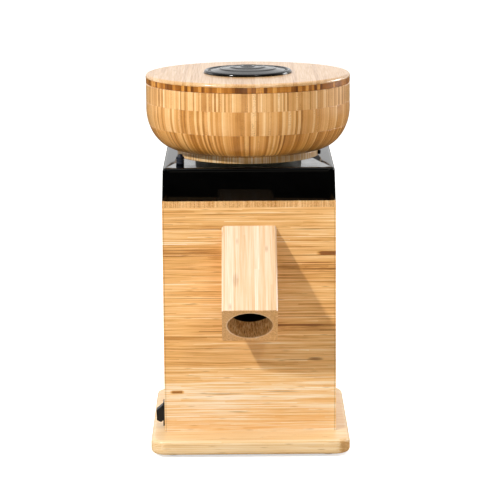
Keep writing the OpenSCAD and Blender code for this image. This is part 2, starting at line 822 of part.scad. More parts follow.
module stone_carrier() {
    color("slategray") on_axis() translate([0, 0, carrier_z]) difference() {
        tube(carrier_r, feed_r + feed_wall + carrier_eye, carrier_t);
        for (a = carrier_screw_angles) rotate(a) translate([carrier_screw_x, 0, carrier_t]) flat_screw_hole(carrier_screw_l);
        for (p = guide_pin_places) translate([p[0], p[1], -1]) cylinder(r = pin_r + run_clear, h = carrier_t + 2);
    }
}

module carrier_screws() {
    color("silver") on_axis() for (a = carrier_screw_angles) rotate(a)
        translate([carrier_screw_x, 0, carrier_z + carrier_t]) flat_screw(carrier_screw_l);
}

// ---- hopper ----

collar_screw_x = (collar_bore_r + collar_r) / 2;
collar_screw_angles = [0, 120, 240];
collar_screw_bite = 2;
collar_screw_l = collar_h + ring_step_t + collar_screw_bite;

module thread_collar() {
    color("ivory") on_axis() translate([0, 0, collar_z]) difference() {
        tube(collar_r, collar_bore_r, collar_h);
        for (a = collar_screw_angles) rotate(a) translate([collar_screw_x, 0, 0]) mirror([0, 0, 1])
            flat_screw_hole(collar_screw_l);
    }
}

module collar_screws() {
    color("silver") on_axis() for (a = collar_screw_angles) rotate(a) translate([collar_screw_x, 0, collar_z])
        mirror([0, 0, 1]) flat_screw(collar_screw_l);
}

hopper_screw_x = 33;
hopper_screw_angles = [45, 135, 225, 315];
hopper_screw_bite = 8;
hopper_screw_l = ring_step_t + ring_t + hopper_screw_bite;
grub_r = 2.2;
grub_angle = -12;
grub_sink = 10;
grub_out = 2.4;
grub_key_r = 1.1;
grub_key_deep = 1.2;

module hopper_ring() {
    color("burlywood") on_axis() difference() {
        union() {
            translate([0, 0, ring_z]) cylinder(r = ring_step_r, h = ring_step_t + 0.01);
            translate([0, 0, ring_wide_z]) cylinder(r = ring_r, h = ring_t);
        }
        translate([0, 0, ring_z - 1]) cylinder(r = feed_r + feed_wall, h = ring_t + ring_step_t + 2);
        for (a = collar_screw_angles) rotate(a) translate([collar_screw_x, 0, ring_z - 1])
            cylinder(r = wood_screw_r, h = collar_screw_l - collar_h + 1);
        for (a = hopper_screw_angles) rotate(a) translate([hopper_screw_x, 0, ring_z]) mirror([0, 0, 1])
            flat_screw_hole(hopper_screw_l);
        ring_screw_place() cylinder(r = grub_r, h = grub_sink + grub_out);
    }
}

module ring_screw_place() {
    rotate(grub_angle) translate([ring_r - grub_sink, 0, ring_wide_z + ring_t / 2]) rotate([0, 90, 0]) children();
}

module ring_screw() {
    color("black") on_axis() ring_screw_place() difference() {
        cylinder(r = grub_r, h = grub_sink + grub_out);
        translate([0, 0, grub_sink + grub_out - grub_key_deep]) cylinder(r = grub_key_r, h = grub_key_deep + 1, $fn = 6);
    }
}

guard_t = 3;
bowl_lip = 3;
guard_z = bowl_z + bowl_floor - bowl_lip - guard_t;
feed_foot_in = 1;
feed_foot_wall = 1.6;
feed_foot_deep = 4;
feed_step_t = 2;

// A straight tube in the throat, stepped in at its foot to stand in the upper stone's eye
module feed_tube() {
    foot = upper_stone_z + stone_t - feed_foot_deep;
    foot_r = eye_r - feed_foot_in;
    color("whitesmoke") on_axis() {
        translate([0, 0, ring_z]) tube(feed_r + feed_wall, feed_r, guard_z - ring_z);
        translate([0, 0, foot]) tube(foot_r, foot_r - feed_foot_wall, ring_z - foot);
        translate([0, 0, ring_z - feed_step_t]) tube(feed_r + feed_wall, foot_r - feed_foot_wall, feed_step_t + 0.01);
    }
}

guard_bar_w = 2.4;

module finger_guard() {
    color("silver") on_axis() translate([0, 0, guard_z]) linear_extrude(guard_t) {
        difference() {
            circle(feed_r + feed_wall);
            circle(feed_r);
        }
        for (a = [0, 60, 120]) rotate(a) square([2 * feed_r + feed_wall, guard_bar_w], center = true);
    }
}

module hopper_screws() {
    color("silver") on_axis() for (a = hopper_screw_angles) rotate(a) translate([hopper_screw_x, 0, ring_z])
        mirror([0, 0, 1]) flat_screw(hopper_screw_l);
}

// The bowl's rounded lower side: a quarter of an ellipse from its foot to its upright wall
bowl_steps = 12;
bowl_curve_w = bowl_r - bowl_foot_r;
course_low_h = 25;
course_mid_h = 24;

function bowl_side(wall, lift) = [for (i = [0 : bowl_steps]) let (a = 90 * i / bowl_steps)
    [bowl_foot_r + (bowl_curve_w - wall) * sin(a), lift + (bowl_curve_h - lift) * (1 - cos(a))]];

// The section of the bowl's wall, outside its floor
module bowl_wall_profile() {
    outer = bowl_side(0, 0);
    inner = bowl_side(bowl_wall, bowl_floor);
    polygon(concat(outer, [[bowl_r, bowl_h], [bowl_r - bowl_wall, bowl_h]],
                   [for (i = [bowl_steps : -1 : 0]) inner[i]]));
}

// One course of the bowl's wall, between two heights above the bowl's foot
module bowl_course(low, high) {
    color("burlywood") on_axis() translate([0, 0, bowl_z]) rotate_extrude() intersection() {
        bowl_wall_profile();
        translate([0, low]) square([bowl_r + 1, high - low]);
    }
}

module course_low() { bowl_course(0, course_low_h); }
module course_mid() { bowl_course(course_low_h, course_low_h + course_mid_h); }
module course_top() { bowl_course(course_low_h + course_mid_h, bowl_h); }

// The floor falls a little towards the throat
module hopper_floor() {
    throat_r = feed_r + feed_wall;
    color("burlywood") on_axis() difference() {
        translate([0, 0, bowl_z]) rotate_extrude() polygon([[throat_r, 0], [bowl_foot_r, 0],
            [bowl_foot_r, bowl_floor], [throat_r, bowl_floor - bowl_lip]]);
        for (a = hopper_screw_angles) rotate(a) translate([hopper_screw_x, 0, bowl_z - 1])
            cylinder(r = wood_screw_r, h = hopper_screw_bite + 1);
    }
}

// ---- lid ----

plug_r = bowl_r - bowl_wall - hole_clear;
plug_wall = 6;
lid_edge_flat = 0.6;
lid_edge_steps = 6;

module lid_band() {
    color("saddlebrown") on_axis() union() {
        translate([0, 0, band_z]) cylinder(r = bowl_r, h = band_t);
        translate([0, 0, band_z - plug_h]) tube(plug_r, plug_r - plug_wall, plug_h + 0.01);
    }
}

// The pale top, with its upper edge rounded by an arc
module lid_top() {
    edge_r = lid_t - lid_edge_flat;
    arc = [for (i = [0 : lid_edge_steps]) let (a = 90 * i / lid_edge_steps) [lid_r - edge_r + edge_r * cos(a), lid_t - edge_r + edge_r * sin(a)]];
    color("wheat") on_axis() translate([0, 0, lid_z]) rotate_extrude()
        polygon(concat([[0, 0], [lid_r, 0]], arc, [[pad_r, lid_t], [pad_r, lid_t - pad_sink], [0, lid_t - pad_sink]]));
}

pad_rim_r = 2.3;
pad_rim_steps = 6;
pad_rim_z = pad_rim_r * 0.4;
pad_clear = 0.1;
pad_ring_rise = 0.7;
pad_curve = 2.2;

// A low dome with shallow raised rings and a rolled rim
module lid_pad() {
    edge_r = pad_r - pad_clear;
    dome_r = pad_r - 2 * pad_rim_r;
    dome_h = pad_h - pad_ring_rise;
    foot = [[0, -pad_sink], [edge_r, -pad_sink]];
    rim = [for (i = [0 : pad_rim_steps]) let (a = 180 * i / pad_rim_steps)
        [edge_r - pad_rim_r + pad_rim_r * cos(a), pad_rim_z + pad_rim_r * sin(a)]];
    dome = [for (i = [0 : 4 * pad_rings])
        let (r = dome_r * (1 - i / (4 * pad_rings)), bump = i % 4 == 2 ? pad_ring_rise : 0)
        [r, pad_rim_z + (dome_h - pad_rim_z) * (1 - pow(r / dome_r, pad_curve)) + bump]];
    color("black") on_axis() translate([0, 0, lid_top_z]) rotate_extrude() polygon(concat(foot, rim, dome));
}

// ---- spout ----

spout_chamfer = 1.6;

module spout() {
    half = spout_w / 2 - spout_chamfer;
    section = [[-spout_w / 2, -half], [-half, -spout_w / 2], [half, -spout_w / 2], [spout_w / 2, -half],
               [spout_w / 2, half], [half, spout_w / 2], [-half, spout_w / 2], [-spout_w / 2, half]];
    color("wheat") on_axis() difference() {
        translate([0, -body_d / 2, spout_cross_z]) rotate([90 + spout_angle, 0, 0])
            translate([0, 0, -spout_w]) linear_extrude(spout_side + spout_w) polygon(section);
        along_spout(spout_r, spout_len + 1, 2 * spout_w);
        translate([-spout_w, -body_d / 2, 0]) cube([2 * spout_w, 2 * spout_w, rim_z]);
        spout_pegs(1);
    }
}

dowel_r = 2.5;
dowel_side = 6;
dowel_top_in = 12;
dowel_low_in = 7.5;
dowel_x = spout_w / 2 - dowel_side;
dowel_top_z = spout_cross_z + spout_w / 2 / cos(spout_angle) - dowel_top_in;
dowel_low_z = spout_cross_z - spout_w / 2 / cos(spout_angle) + dowel_low_in;
dowel_top_deep = 5;
dowel_low_deep = 15;

// The four dowels that hold the spout, lengthened by extra
module spout_pegs(extra = 0) {
    for (s = [-1, 1], peg = [[dowel_top_z, dowel_top_deep], [dowel_low_z, dowel_low_deep]])
        translate([s * dowel_x, -body_d / 2 + panel_t, peg[0]]) rotate([90, 0, 0])
            cylinder(r = dowel_r, h = panel_t + peg[1] + extra);
}

module spout_dowels() {
    color("peru") on_axis() spout_pegs();
}

// ---- motor ----

module motor_shaft() {
    color("silver") on_axis() translate([0, 0, shaft_z]) cylinder(r = shaft_r, h = shaft_top - shaft_z);
}

cage_ring_h = 4;
cage_ring_in = 1;
cage_ring_w = 8;

// The rotor's laminations, with the end rings of its cage
module rotor_core() {
    color("darkgray") on_axis() {
        translate([0, 0, stator_z]) tube(rotor_r, shaft_r, stator_l);
        for (z = [stator_z - cage_ring_h, stator_top]) translate([0, 0, z])
            tube(rotor_r - cage_ring_in, rotor_r - cage_ring_in - cage_ring_w, cage_ring_h);
    }
}

fan_hub_r = fan_r * 0.38;
fan_wall = 2;
fan_blade_short = 1.7;

module cooling_fan() {
    color("dimgray") on_axis() translate([0, 0, fan_z]) difference() {
        union() {
            cylinder(r = fan_hub_r, h = fan_h);
            translate([0, 0, fan_h - fan_wall]) cylinder(r = fan_r, h = fan_wall);
            for (i = [0 : fan_blades - 1]) rotate(i * 360 / fan_blades) translate([fan_hub_r - fan_wall, -fan_wall / 2, 0])
                cube([fan_r - fan_hub_r + fan_wall - fan_blade_short, fan_wall, fan_h - 1]);
        }
        translate([0, 0, -1]) cylinder(r = shaft_r, h = fan_h + 2);
    }
}

stator_slots = 24;
stator_slot_w = 3.2;
stator_slot_deep = 11;

module stator_core() {
    color("darkslategray") on_axis() translate([0, 0, stator_z]) difference() {
        tube(motor_r, stator_bore_r, stator_l);
        for (i = [0 : stator_slots - 1]) rotate(i * 360 / stator_slots)
            translate([stator_bore_r - 1, -stator_slot_w / 2, -1]) cube([stator_slot_deep + 1, stator_slot_w, stator_l + 2]);
        for (c = corners) rotate(atan2(c[1], c[0]) + 45) translate([tie_x, 0, -1]) cylinder(r = tie_r, h = stator_l + 2);
    }
}

coil_h = 12;
coil_edge_r = 3;
coil_in = 2;
coil_clear = 1;
bell_land = 3.5;
bell_inner_r = motor_r - bell_wall - bell_land;
coil_w = bell_inner_r - stator_bore_r - coil_in - coil_clear;

// The two rings where the winding turns back at the core's ends
module stator_coils() {
    color("chocolate") on_axis() for (z = [stator_z - coil_h, stator_top]) translate([0, 0, z])
        rotate_extrude() translate([stator_bore_r + coil_in + coil_w / 2, coil_h / 2])
            rounded_rect(coil_w, coil_h, coil_edge_r);
}

tie_in = 4.4;
tie_x = motor_r - tie_in;
tie_r = 1.5;
tie_head_r = 3;
tie_head_h = 2;
bell_boss_wall = 3;
bell_boss_short = 0.5;
bell_eye = 2;
bell_slots = 8;
bell_slot_l = 14;
bell_slot_w = 6;
bell_slot_in = 6;
bell_ear_t = 6;
bell_ear_in = 4;

// An end bell: a cup that closes the motor, drawn with its closed end at z = 0 and its mouth up
module end_bell() {
    difference() {
        union() {
            difference() {
                cylinder(r = motor_r, h = bell_h);
                translate([0, 0, bell_wall]) cylinder(r = bell_inner_r, h = bell_h);
            }
            cylinder(r = bearing_r + bell_boss_wall, h = bell_wall + bearing_t - bell_boss_short);
        }
        translate([0, 0, bell_wall]) cylinder(r = bearing_r, h = bell_h);
        translate([0, 0, -1]) cylinder(r = shaft_r + bell_eye, h = bell_h);
        for (i = [0 : bell_slots - 1]) rotate(i * 360 / bell_slots) translate([bearing_r + bell_slot_in, -bell_slot_w / 2, -1])
            cube([bell_slot_l, bell_slot_w, bell_wall + 2]);
        for (i = [0 : 3]) rotate(i * 90) translate([tie_x, 0, -1]) cylinder(r = tie_r, h = bell_h + 2);
    }
}

module upper_end_bell() {
    color("silver") on_axis() difference() {
        union() {
            translate([0, 0, motor_top]) mirror([0, 0, 1]) end_bell();
            translate([0, 0, motor_top - bell_ear_t]) linear_extrude(bell_ear_t)
                ears(mount_x, motor_r - bell_ear_in, mount_ear_r);
        }
        for (c = corners) translate([c[0] * mount_x, c[1] * mount_x, motor_top - bell_h]) cylinder(r = bolt_r, h = bell_h + 1);
    }
}

module lower_end_bell() {
    color("silver") on_axis() translate([0, 0, motor_z]) end_bell();
}

module tie_bolts() {
    color("dimgray") on_axis() for (i = [0 : 3]) rotate(i * 90) translate([tie_x, 0, motor_z]) mirror([0, 0, 1])
        cap_bolt(motor_top - motor_z, tie_r, tie_head_r, tie_head_h);
}

module bearing_outer_races() {
    color("silver") on_axis() for (z = bearing_zs) translate([0, 0, z]) race(bearing_r, race_out_r);
}

module bearing_inner_races() {
    color("silver") on_axis() for (z = bearing_zs) translate([0, 0, z]) race(race_in_r, shaft_r);
}

ball_clear = 0.1;

// A bearing race with its ball groove
module race(outer_r, inner_r) {
    difference() {
        tube(outer_r, inner_r, bearing_t);
        translate([0, 0, bearing_t / 2]) rotate_extrude() translate([ball_path_r, 0]) circle(ball_r + ball_clear, $fn = 32);
    }
}

module bearing_balls() {
    color("white") on_axis() for (z = bearing_zs, i = [0 : ball_count - 1]) rotate(i * 360 / ball_count)
        translate([ball_path_r, 0, z + bearing_t / 2]) sphere(ball_r, $fn = 32);
}

mount_bolt_bite = 10;
mount_bolt_sink = mount_bolt_bite + 3;

module rubber_mounts() {
    color("black") on_axis() for (c = corners) translate([c[0] * mount_x, c[1] * mount_x, motor_top])
        tube(leg_r, bolt_r, mount_t);
}

module mount_bolts() {
    color("silver") on_axis() for (c = corners) translate([c[0] * mount_x, c[1] * mount_x, motor_top - bell_ear_t])
        mirror([0, 0, 1]) cap_bolt(bell_ear_t + mount_t + mount_bolt_bite);
}

// ---- switch and electrics ----

switch_body_w = switch_w - 2.2;
switch_body_h = switch_h - 2.4;
switch_deep = 22;
switch_cavity = 12;
switch_wall = 1.3;
switch_tab_z = 7;
switch_tab_w = 6;
switch_tab_l = 8;
switch_tab_t = 0.8;
rocker_w = switch_body_w - 2 * switch_wall;
rocker_len = switch_body_h - 2 * switch_wall;
rocker_sweep = 0.9;
rocker_play = 0.3;
rocker_pivot = 1;
rocker_pin_r = 1.1;

// The switch's own frame: x = 0 on the panel's outer face and +x into the housing, z = 0 at its middle
module switch_place() {
    translate([-body_w / 2, -body_d / 2 + switch_y, base_top + switch_z]) children();
}

module switch_body() {
    color("black") on_axis() switch_place() difference() {
        union() {
            translate([-bezel_t, -switch_w / 2, -switch_h / 2]) cube([bezel_t, switch_w, switch_h]);
            translate([-0.01, -switch_body_w / 2, -switch_body_h / 2]) cube([switch_deep, switch_body_w, switch_body_h]);
            for (s = [-1, 1]) translate([switch_deep - 0.01, -switch_tab_w / 2, s * switch_tab_z - switch_tab_t / 2])
                cube([switch_tab_l, switch_tab_w, switch_tab_t]);
        }
        translate([-bezel_t - 1, -rocker_w / 2 - hole_clear, -rocker_len / 2 - rocker_sweep])
            cube([bezel_t + 1 + switch_cavity, rocker_w + 2 * hole_clear, rocker_len + 2 * rocker_sweep]);
        translate([-rocker_pivot, 0, 0]) rotate([90, 0, 0])
            cylinder(r = rocker_pin_r + run_clear, h = rocker_w + 2, center = true);
    }
}

// The rocker's side view, before it is tilted: a ridge outwards and a shallow belly inwards.
// Its tips swing just clear of the frame's opening.
module rocker_profile() {
    ridge_out = 8.8;
    tip_out = 4.2;
    root_in = 0.6;
    belly_in = 4.9;
    tip_z = sqrt(pow(rocker_len / 2 + rocker_sweep - rocker_play, 2) - pow(tip_out, 2));
    polygon([[-ridge_out, 0], [-tip_out, tip_z], [root_in, tip_z], [belly_in, 0], [root_in, -tip_z], [-tip_out, -tip_z]]);
}

module rocker() {
    color("black") on_axis() switch_place() translate([-rocker_pivot, 0, 0]) rotate([0, rocker_tilt, 0]) {
        rotate([90, 0, 0]) linear_extrude(rocker_w, center = true) rocker_profile();
        rotate([90, 0, 0]) cylinder(r = rocker_pin_r, h = rocker_w + 1.6, center = true);
    }
}

capacitor_x = 44;
capacitor_y = 20;
capacitor_lift = 2.4;
capacitor_saddle = 2;
capacitor_saddle_w = 12;
capacitor_sink = 0.2;

// The run capacitor in its saddle
module run_capacitor() {
    saddle_r = capacitor_r + capacitor_saddle;
    axis_h = capacitor_r + capacitor_lift;
    color("whitesmoke") on_axis() translate([capacitor_x, -capacitor_l / 2 - capacitor_y, base_top + axis_h]) {
        rotate([-90, 0, 0]) cylinder(r = capacitor_r, h = capacitor_l);
        difference() {
            translate([-saddle_r, (capacitor_l - capacitor_saddle_w) / 2, -axis_h])
                cube([2 * saddle_r, capacitor_saddle_w, axis_h]);
            translate([0, -1, 0]) rotate([-90, 0, 0]) cylinder(r = capacitor_r - capacitor_sink, h = capacitor_l + 2);
        }
    }
}

block_ways = 4;
block_way_w = 10;
block_deep = 18;
block_h = 16;
block_bore_z = 6;
block_screw_r = 2.4;
block_wire_r = 2.2;
block_left = 62;
block_back = 26;

module terminal_block() {
    color("whitesmoke") on_axis() translate([-block_left, block_back, base_top]) difference() {
        cube([block_deep, block_ways * block_way_w, block_h]);
        for (i = [0 : block_ways - 1]) translate([block_deep / 2, (i + 0.5) * block_way_w, block_bore_z]) {
            cylinder(r = block_screw_r, h = block_h);
            rotate([0, 90, 0]) cylinder(r = block_wire_r, h = block_deep + 2, center = true);
        }
    }
}

gland_body_r = 6.5;
gland_flange_r = 9.5;
gland_flange_t = 3;
gland_nut_t = 5;
gland_nut_edge = 2;
gland_nose_h = 4;
gland_nose_in = 1.4;

module cord_gland() {
    color("black") on_axis() translate([gland_x, body_d / 2, base_top + gland_z]) rotate([-90, 0, 0]) difference() {
        union() {
            cylinder(r = gland_flange_r, h = gland_flange_t);
            translate([0, 0, -panel_t]) cylinder(r = gland_body_r, h = panel_t + 1);
            translate([0, 0, -panel_t - gland_nut_t]) cylinder(r = gland_body_r + gland_nut_edge, h = gland_nut_t, $fn = 6);
            translate([0, 0, gland_flange_t - 0.01])
                cylinder(r1 = gland_body_r, r2 = gland_body_r - gland_nose_in, h = gland_nose_h);
        }
        translate([0, 0, -panel_t - gland_nut_t - 1])
            cylinder(r = cord_r, h = panel_t + gland_nut_t + gland_flange_t + gland_nose_h + 2);
    }
}

base_plate();
bottom_cover();
feet();
base_screws();
front_panel();
rear_panel();
left_panel();
right_panel();
corner_blocks();
top_board();
board_screws();
top_cap();
cap_screws();
index_post();
mill_chamber();
chamber_gasket();
chamber_bolts();
thread_ring();
guide_pins();
carrier_springs();
lower_stone();
stone_hub();
stone_nut();
upper_stone();
stone_carrier();
carrier_screws();
thread_collar();
collar_screws();
hopper_ring();
ring_screw();
feed_tube();
finger_guard();
hopper_screws();
hopper_floor();
course_low();
course_mid();
course_top();
lid_band();
lid_top();
lid_pad();
spout();
spout_dowels();
motor_shaft();
rotor_core();
cooling_fan();
stator_core();
stator_coils();
upper_end_bell();
lower_end_bell();
tie_bolts();
bearing_outer_races();
bearing_inner_races();
bearing_balls();
rubber_mounts();
mount_bolts();
switch_body();
rocker();
run_capacitor();
terminal_block();
cord_gland();
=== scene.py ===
import json
import math

import bmesh
import bpy
from mathutils import Matrix, Vector


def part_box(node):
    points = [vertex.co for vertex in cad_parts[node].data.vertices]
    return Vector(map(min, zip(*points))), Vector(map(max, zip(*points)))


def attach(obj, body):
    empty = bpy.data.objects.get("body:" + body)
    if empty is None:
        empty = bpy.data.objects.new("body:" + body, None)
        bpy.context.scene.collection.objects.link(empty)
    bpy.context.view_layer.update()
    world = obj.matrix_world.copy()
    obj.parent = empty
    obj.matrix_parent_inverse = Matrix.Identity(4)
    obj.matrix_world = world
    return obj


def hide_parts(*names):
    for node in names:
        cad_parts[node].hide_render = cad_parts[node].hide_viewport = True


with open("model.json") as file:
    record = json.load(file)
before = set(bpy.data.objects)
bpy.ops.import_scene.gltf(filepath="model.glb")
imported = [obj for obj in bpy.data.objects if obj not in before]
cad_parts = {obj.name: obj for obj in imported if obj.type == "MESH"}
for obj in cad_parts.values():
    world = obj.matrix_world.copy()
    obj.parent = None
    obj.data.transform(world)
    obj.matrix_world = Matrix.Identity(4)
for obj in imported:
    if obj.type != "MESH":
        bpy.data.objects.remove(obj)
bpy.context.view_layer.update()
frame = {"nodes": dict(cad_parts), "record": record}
nodes = frame["nodes"]

MM = 0.001
SPIN_STEPS = 192
EASE_FROM = 30.0        # degrees between two faces at which their edge is eased
SHARP_FROM = 35.0       # degrees at which an edge still shades as one

# Places read from the frame, in metres
bowl_low, bowl_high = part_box("course_top")
axis_y = (bowl_low[1] + bowl_high[1]) / 2
bowl_r = (bowl_high[0] - bowl_low[0]) / 2


def srgb(text):
    """A hex colour as linear RGBA."""
    parts = [int(text[i:i + 2], 16) / 255 for i in (1, 3, 5)]
    return [c / 12.92 if c <= 0.04045 else ((c + 0.055) / 1.055) ** 2.4 for c in parts] + [1.0]


# ---------------------------------------------------------------- nodes

def add(tree, kind, inputs=(), out=0, tones=(), **settings):
    """Adds a shader node with its settings, links or fills its inputs, and gives back one output.
    inputs are in the order of the node's sockets, or a dict by name or number. out is an output's name
    or number, or None for all of them. tones are a colour ramp's evenly spaced colours."""
    made = tree.nodes.new("ShaderNode" + kind)
    for name, value in settings.items():
        setattr(made, name, value)
    for i, tone in enumerate(tones):
        band = made.color_ramp.elements
        if i == len(band):
            band.new(1.0)
        band[i].position = i / (len(tones) - 1)
        band[i].color = srgb(tone)
    for key, value in inputs.items() if isinstance(inputs, dict) else enumerate(inputs):
        if isinstance(value, bpy.types.NodeSocket):
            tree.links.new(value, made.inputs[key])
        else:
            made.inputs[key].default_value = value
    return made.outputs if out is None else made.outputs[out]


def millimetres(tree):
    """The piece's own coordinates in millimetres."""
    place = add(tree, "TexCoord", out="Object")
    return add(tree, "VectorMath", {0: place, "Scale": 1 / MM}, operation="SCALE")


def near(tree, value, place, full, none, most=1.0):
    """most where a value is within full of a place, fading to 0 where it is none away from it."""
    apart = add(tree, "Math", (value, place), operation="SUBTRACT")
    apart = add(tree, "Math", (apart,), operation="ABSOLUTE")
    return add(tree, "MapRange", (apart, full, none, most, 0.0))


def build_up(tree, tone, shares):
    """Adds to a tone its shares, each a pattern and its weight."""
    for pattern, weight in shares:
        tone = add(tree, "Math", (pattern, weight, tone), operation="MULTIPLY_ADD")
    return tone


def painted(tree, colour, layers):
    """Lays tints over a colour, each with its amount. A Mix takes its colours at 6 and 7 and gives one
    at 2."""
    for amount, tint in layers:
        tint = srgb(tint) if isinstance(tint, str) else tint
        colour = add(tree, "Mix", {0: amount, 6: colour, 7: tint}, 2, data_type="RGBA")
    return colour


def material(name):
    made = bpy.data.materials.new(name)
    made.use_nodes = True
    tree = made.node_tree
    tree.nodes.clear()
    return made, tree


def surface(tree, inputs, height=None, depth=0.0):
    """The shader, its bump and the output. depth is the bump's height in metres."""
    if height is not None:
        inputs["Normal"] = add(tree, "Bump", {"Height": height, "Distance": depth, "Strength": 1.0})
    add(tree, "OutputMaterial", (add(tree, "BsdfPrincipled", inputs),), None)


# ------------------------------------------------------------ materials

X, Y, Z = (1, 0, 0), (0, 1, 0), (0, 0, 1)
SLOPE = 0.5 ** 0.5
DOWN_SPOUT = (0, -SLOPE, -SLOPE)
OVER_SPOUT = (0, -SLOPE, SLOPE)

GLUE_TONE = "#8c5a26"
CANE_NODE_TONE = "#9c6427"
EYE_TONE = "#84521d"
BLOCK_GLUE_TONE = "#7d4e20"
PIT_TONE = "#7c4c20"
# near-black painted shade deep inside the spout's bore
BORE_SHADE_TONE = "#060506"

STRIP_JITTER = 0.75     # how unevenly wide a board's strips are, of 1
GLUE_W = 0.3            # half a glue line between strips, in millimetres
NODE_GAP = 210.0        # between two nodes of one cane
UNROLL_R = 100.0        # the radius at which a turned ring's blocks have their width


def bamboo(name, across, along, through, tones, strip=3.6, stick=170.0, patch=1.0, knots=1.0, line=0.2,
           rough=0.42, coat=0.12, marks=(), bands=(), seams=()):
    """Laminated bamboo: strips side by side, each made of sticks, with fibres, glue lines and node marks.
    across, along and through are the strips' three directions on the piece. Lengths are in millimetres:
    strip is a strip's width and stick a stick's length. patch, knots and line are the strengths of the
    broad patches, the node marks and the glue lines. marks are dark eyes in the grain, each (along,
    across, half length, half width, strength), and bands are darker strips, each (across, half width,
    from along, to along, strength); a band with a negative strength is painted lighter instead, as painted
    light. seams are places along the strips where a joint shows."""
    made, tree = material(name)
    mm = millimetres(tree)
    u, t, w = (add(tree, "VectorMath", (mm, way), "Value", operation="DOT_PRODUCT")
               for way in (across, along, through))
    grain = add(tree, "CombineXYZ", (t, u, w))
    in_strips = {"W": add(tree, "Math", (u, strip), operation="DIVIDE"), "Randomness": STRIP_JITTER}
    cell = add(tree, "TexVoronoi", in_strips, "Color", voronoi_dimensions="1D")
    r1, r2, r3 = add(tree, "SeparateXYZ", (cell,), None)
    edge = add(tree, "TexVoronoi", in_strips, voronoi_dimensions="1D", feature="DISTANCE_TO_EDGE")
    glue = add(tree, "MapRange", (edge, 0.0, GLUE_W / strip, 1.0, 0.0))
    # each strip is cut into sticks at its own places
    in_sticks = add(tree, "Math", (t, stick), operation="DIVIDE")
    in_sticks = add(tree, "Math", (r2, 37.0, in_sticks), operation="MULTIPLY_ADD")
    in_sticks = add(tree, "Math", (in_sticks,), operation="FLOOR")
    stick_id = add(tree, "TexWhiteNoise", (add(tree, "CombineXYZ", (in_sticks, r1)),),
                   noise_dimensions="2D")
    # fibres run along the strip and wander a little: a real one is 0.3 mm wide, too fine to show here,
    # so they are drawn a millimetre wide
    bends = add(tree, "VectorMath", (grain, (60.0, 14.0, 14.0)), operation="DIVIDE")
    bends = add(tree, "TexNoise", {"Vector": bends, "Scale": 1.0})
    bent = add(tree, "Math", (bends, 0.8, u), operation="MULTIPLY_ADD")
    bent = add(tree, "CombineXYZ", (add(tree, "Math", (t, 48.0), operation="DIVIDE"), bent, w))
    fibres = add(tree, "TexNoise", {"Vector": bent, "Scale": 1.0, "Detail": 4.0, "Roughness": 0.6})
    patches = add(tree, "VectorMath", (grain, (150.0, 16.0, 40.0)), operation="DIVIDE")
    patches = add(tree, "TexNoise", {"Vector": patches, "Scale": 1.0, "Detail": 1.0})
    tone = add(tree, "Math", (r1, 0.24, -0.06), operation="MULTIPLY_ADD")
    tone = build_up(tree, tone, ((stick_id, 0.34),
                                 (add(tree, "MapRange", (fibres, 0.36, 0.64)), 0.38),
                                 (add(tree, "MapRange", (patches, 0.3, 0.7)), 0.20 * patch)))
    for place, half, start, end, strength in bands:
        soft = min(12.0, (end - start) / 8)
        inside = near(tree, u, place, half * 0.6, half * 1.2)
        for limit in ((t, start - soft, start + soft), (t, end - soft, end + soft, 1.0, 0.0)):
            inside = add(tree, "Math", (inside, add(tree, "MapRange", limit)), operation="MULTIPLY")
        tone = build_up(tree, tone, ((inside, -strength),))
    # a node of the cane: a short darker stretch, on some strips only
    knot = add(tree, "Math", (r3, 411.0, t), operation="MULTIPLY_ADD")
    knot = add(tree, "Math", (knot, NODE_GAP / 2), operation="PINGPONG")
    knot = add(tree, "MapRange", (knot, 1.0, 5.0, 0.5, 0.0))
    for limit in ((stick_id, 0.55, 0.75), (fibres, 0.35, 0.6, 0.35 * knots, knots)):
        knot = add(tree, "Math", (knot, add(tree, "MapRange", limit)), operation="MULTIPLY")
    layers = [(knot, CANE_NODE_TONE)]
    level = add(tree, "CombineXYZ", (t, u))
    for at_t, at_u, half_t, half_u, strength in marks:
        off = add(tree, "VectorMath", (level, (at_t, at_u, 0.0)), operation="SUBTRACT")
        off = add(tree, "VectorMath", (off, (half_t, half_u, 1.0)), operation="DIVIDE")
        far = add(tree, "VectorMath", (off, off), "Value", operation="DOT_PRODUCT")
        far = add(tree, "Math", (fibres, 3.0, far), operation="MULTIPLY_ADD")
        layers.append((add(tree, "MapRange", (far, 1.4, 2.6, strength, 0.0)), EYE_TONE))
    layers.append((add(tree, "Math", (glue, line), operation="MULTIPLY"), GLUE_TONE))
    layers += [(near(tree, t, place, 0.2, 0.5, 0.4), GLUE_TONE) for place in seams]
    colour = painted(tree, add(tree, "ValToRGB", (tone,), tones=tones), layers)
    height = add(tree, "Math", (glue, -0.5), operation="MULTIPLY")
    height = add(tree, "Math", (fibres, 0.3, height), operation="MULTIPLY_ADD")
    sanded = add(tree, "MapRange", (fibres, 0.2, 0.8, rough + 0.07, rough - 0.07))
    surface(tree, {"Base Color": colour, "Roughness": sanded, "Coat Weight": coat, "Coat Roughness": 0.25},
            height, 0.12 * MM)
    return made


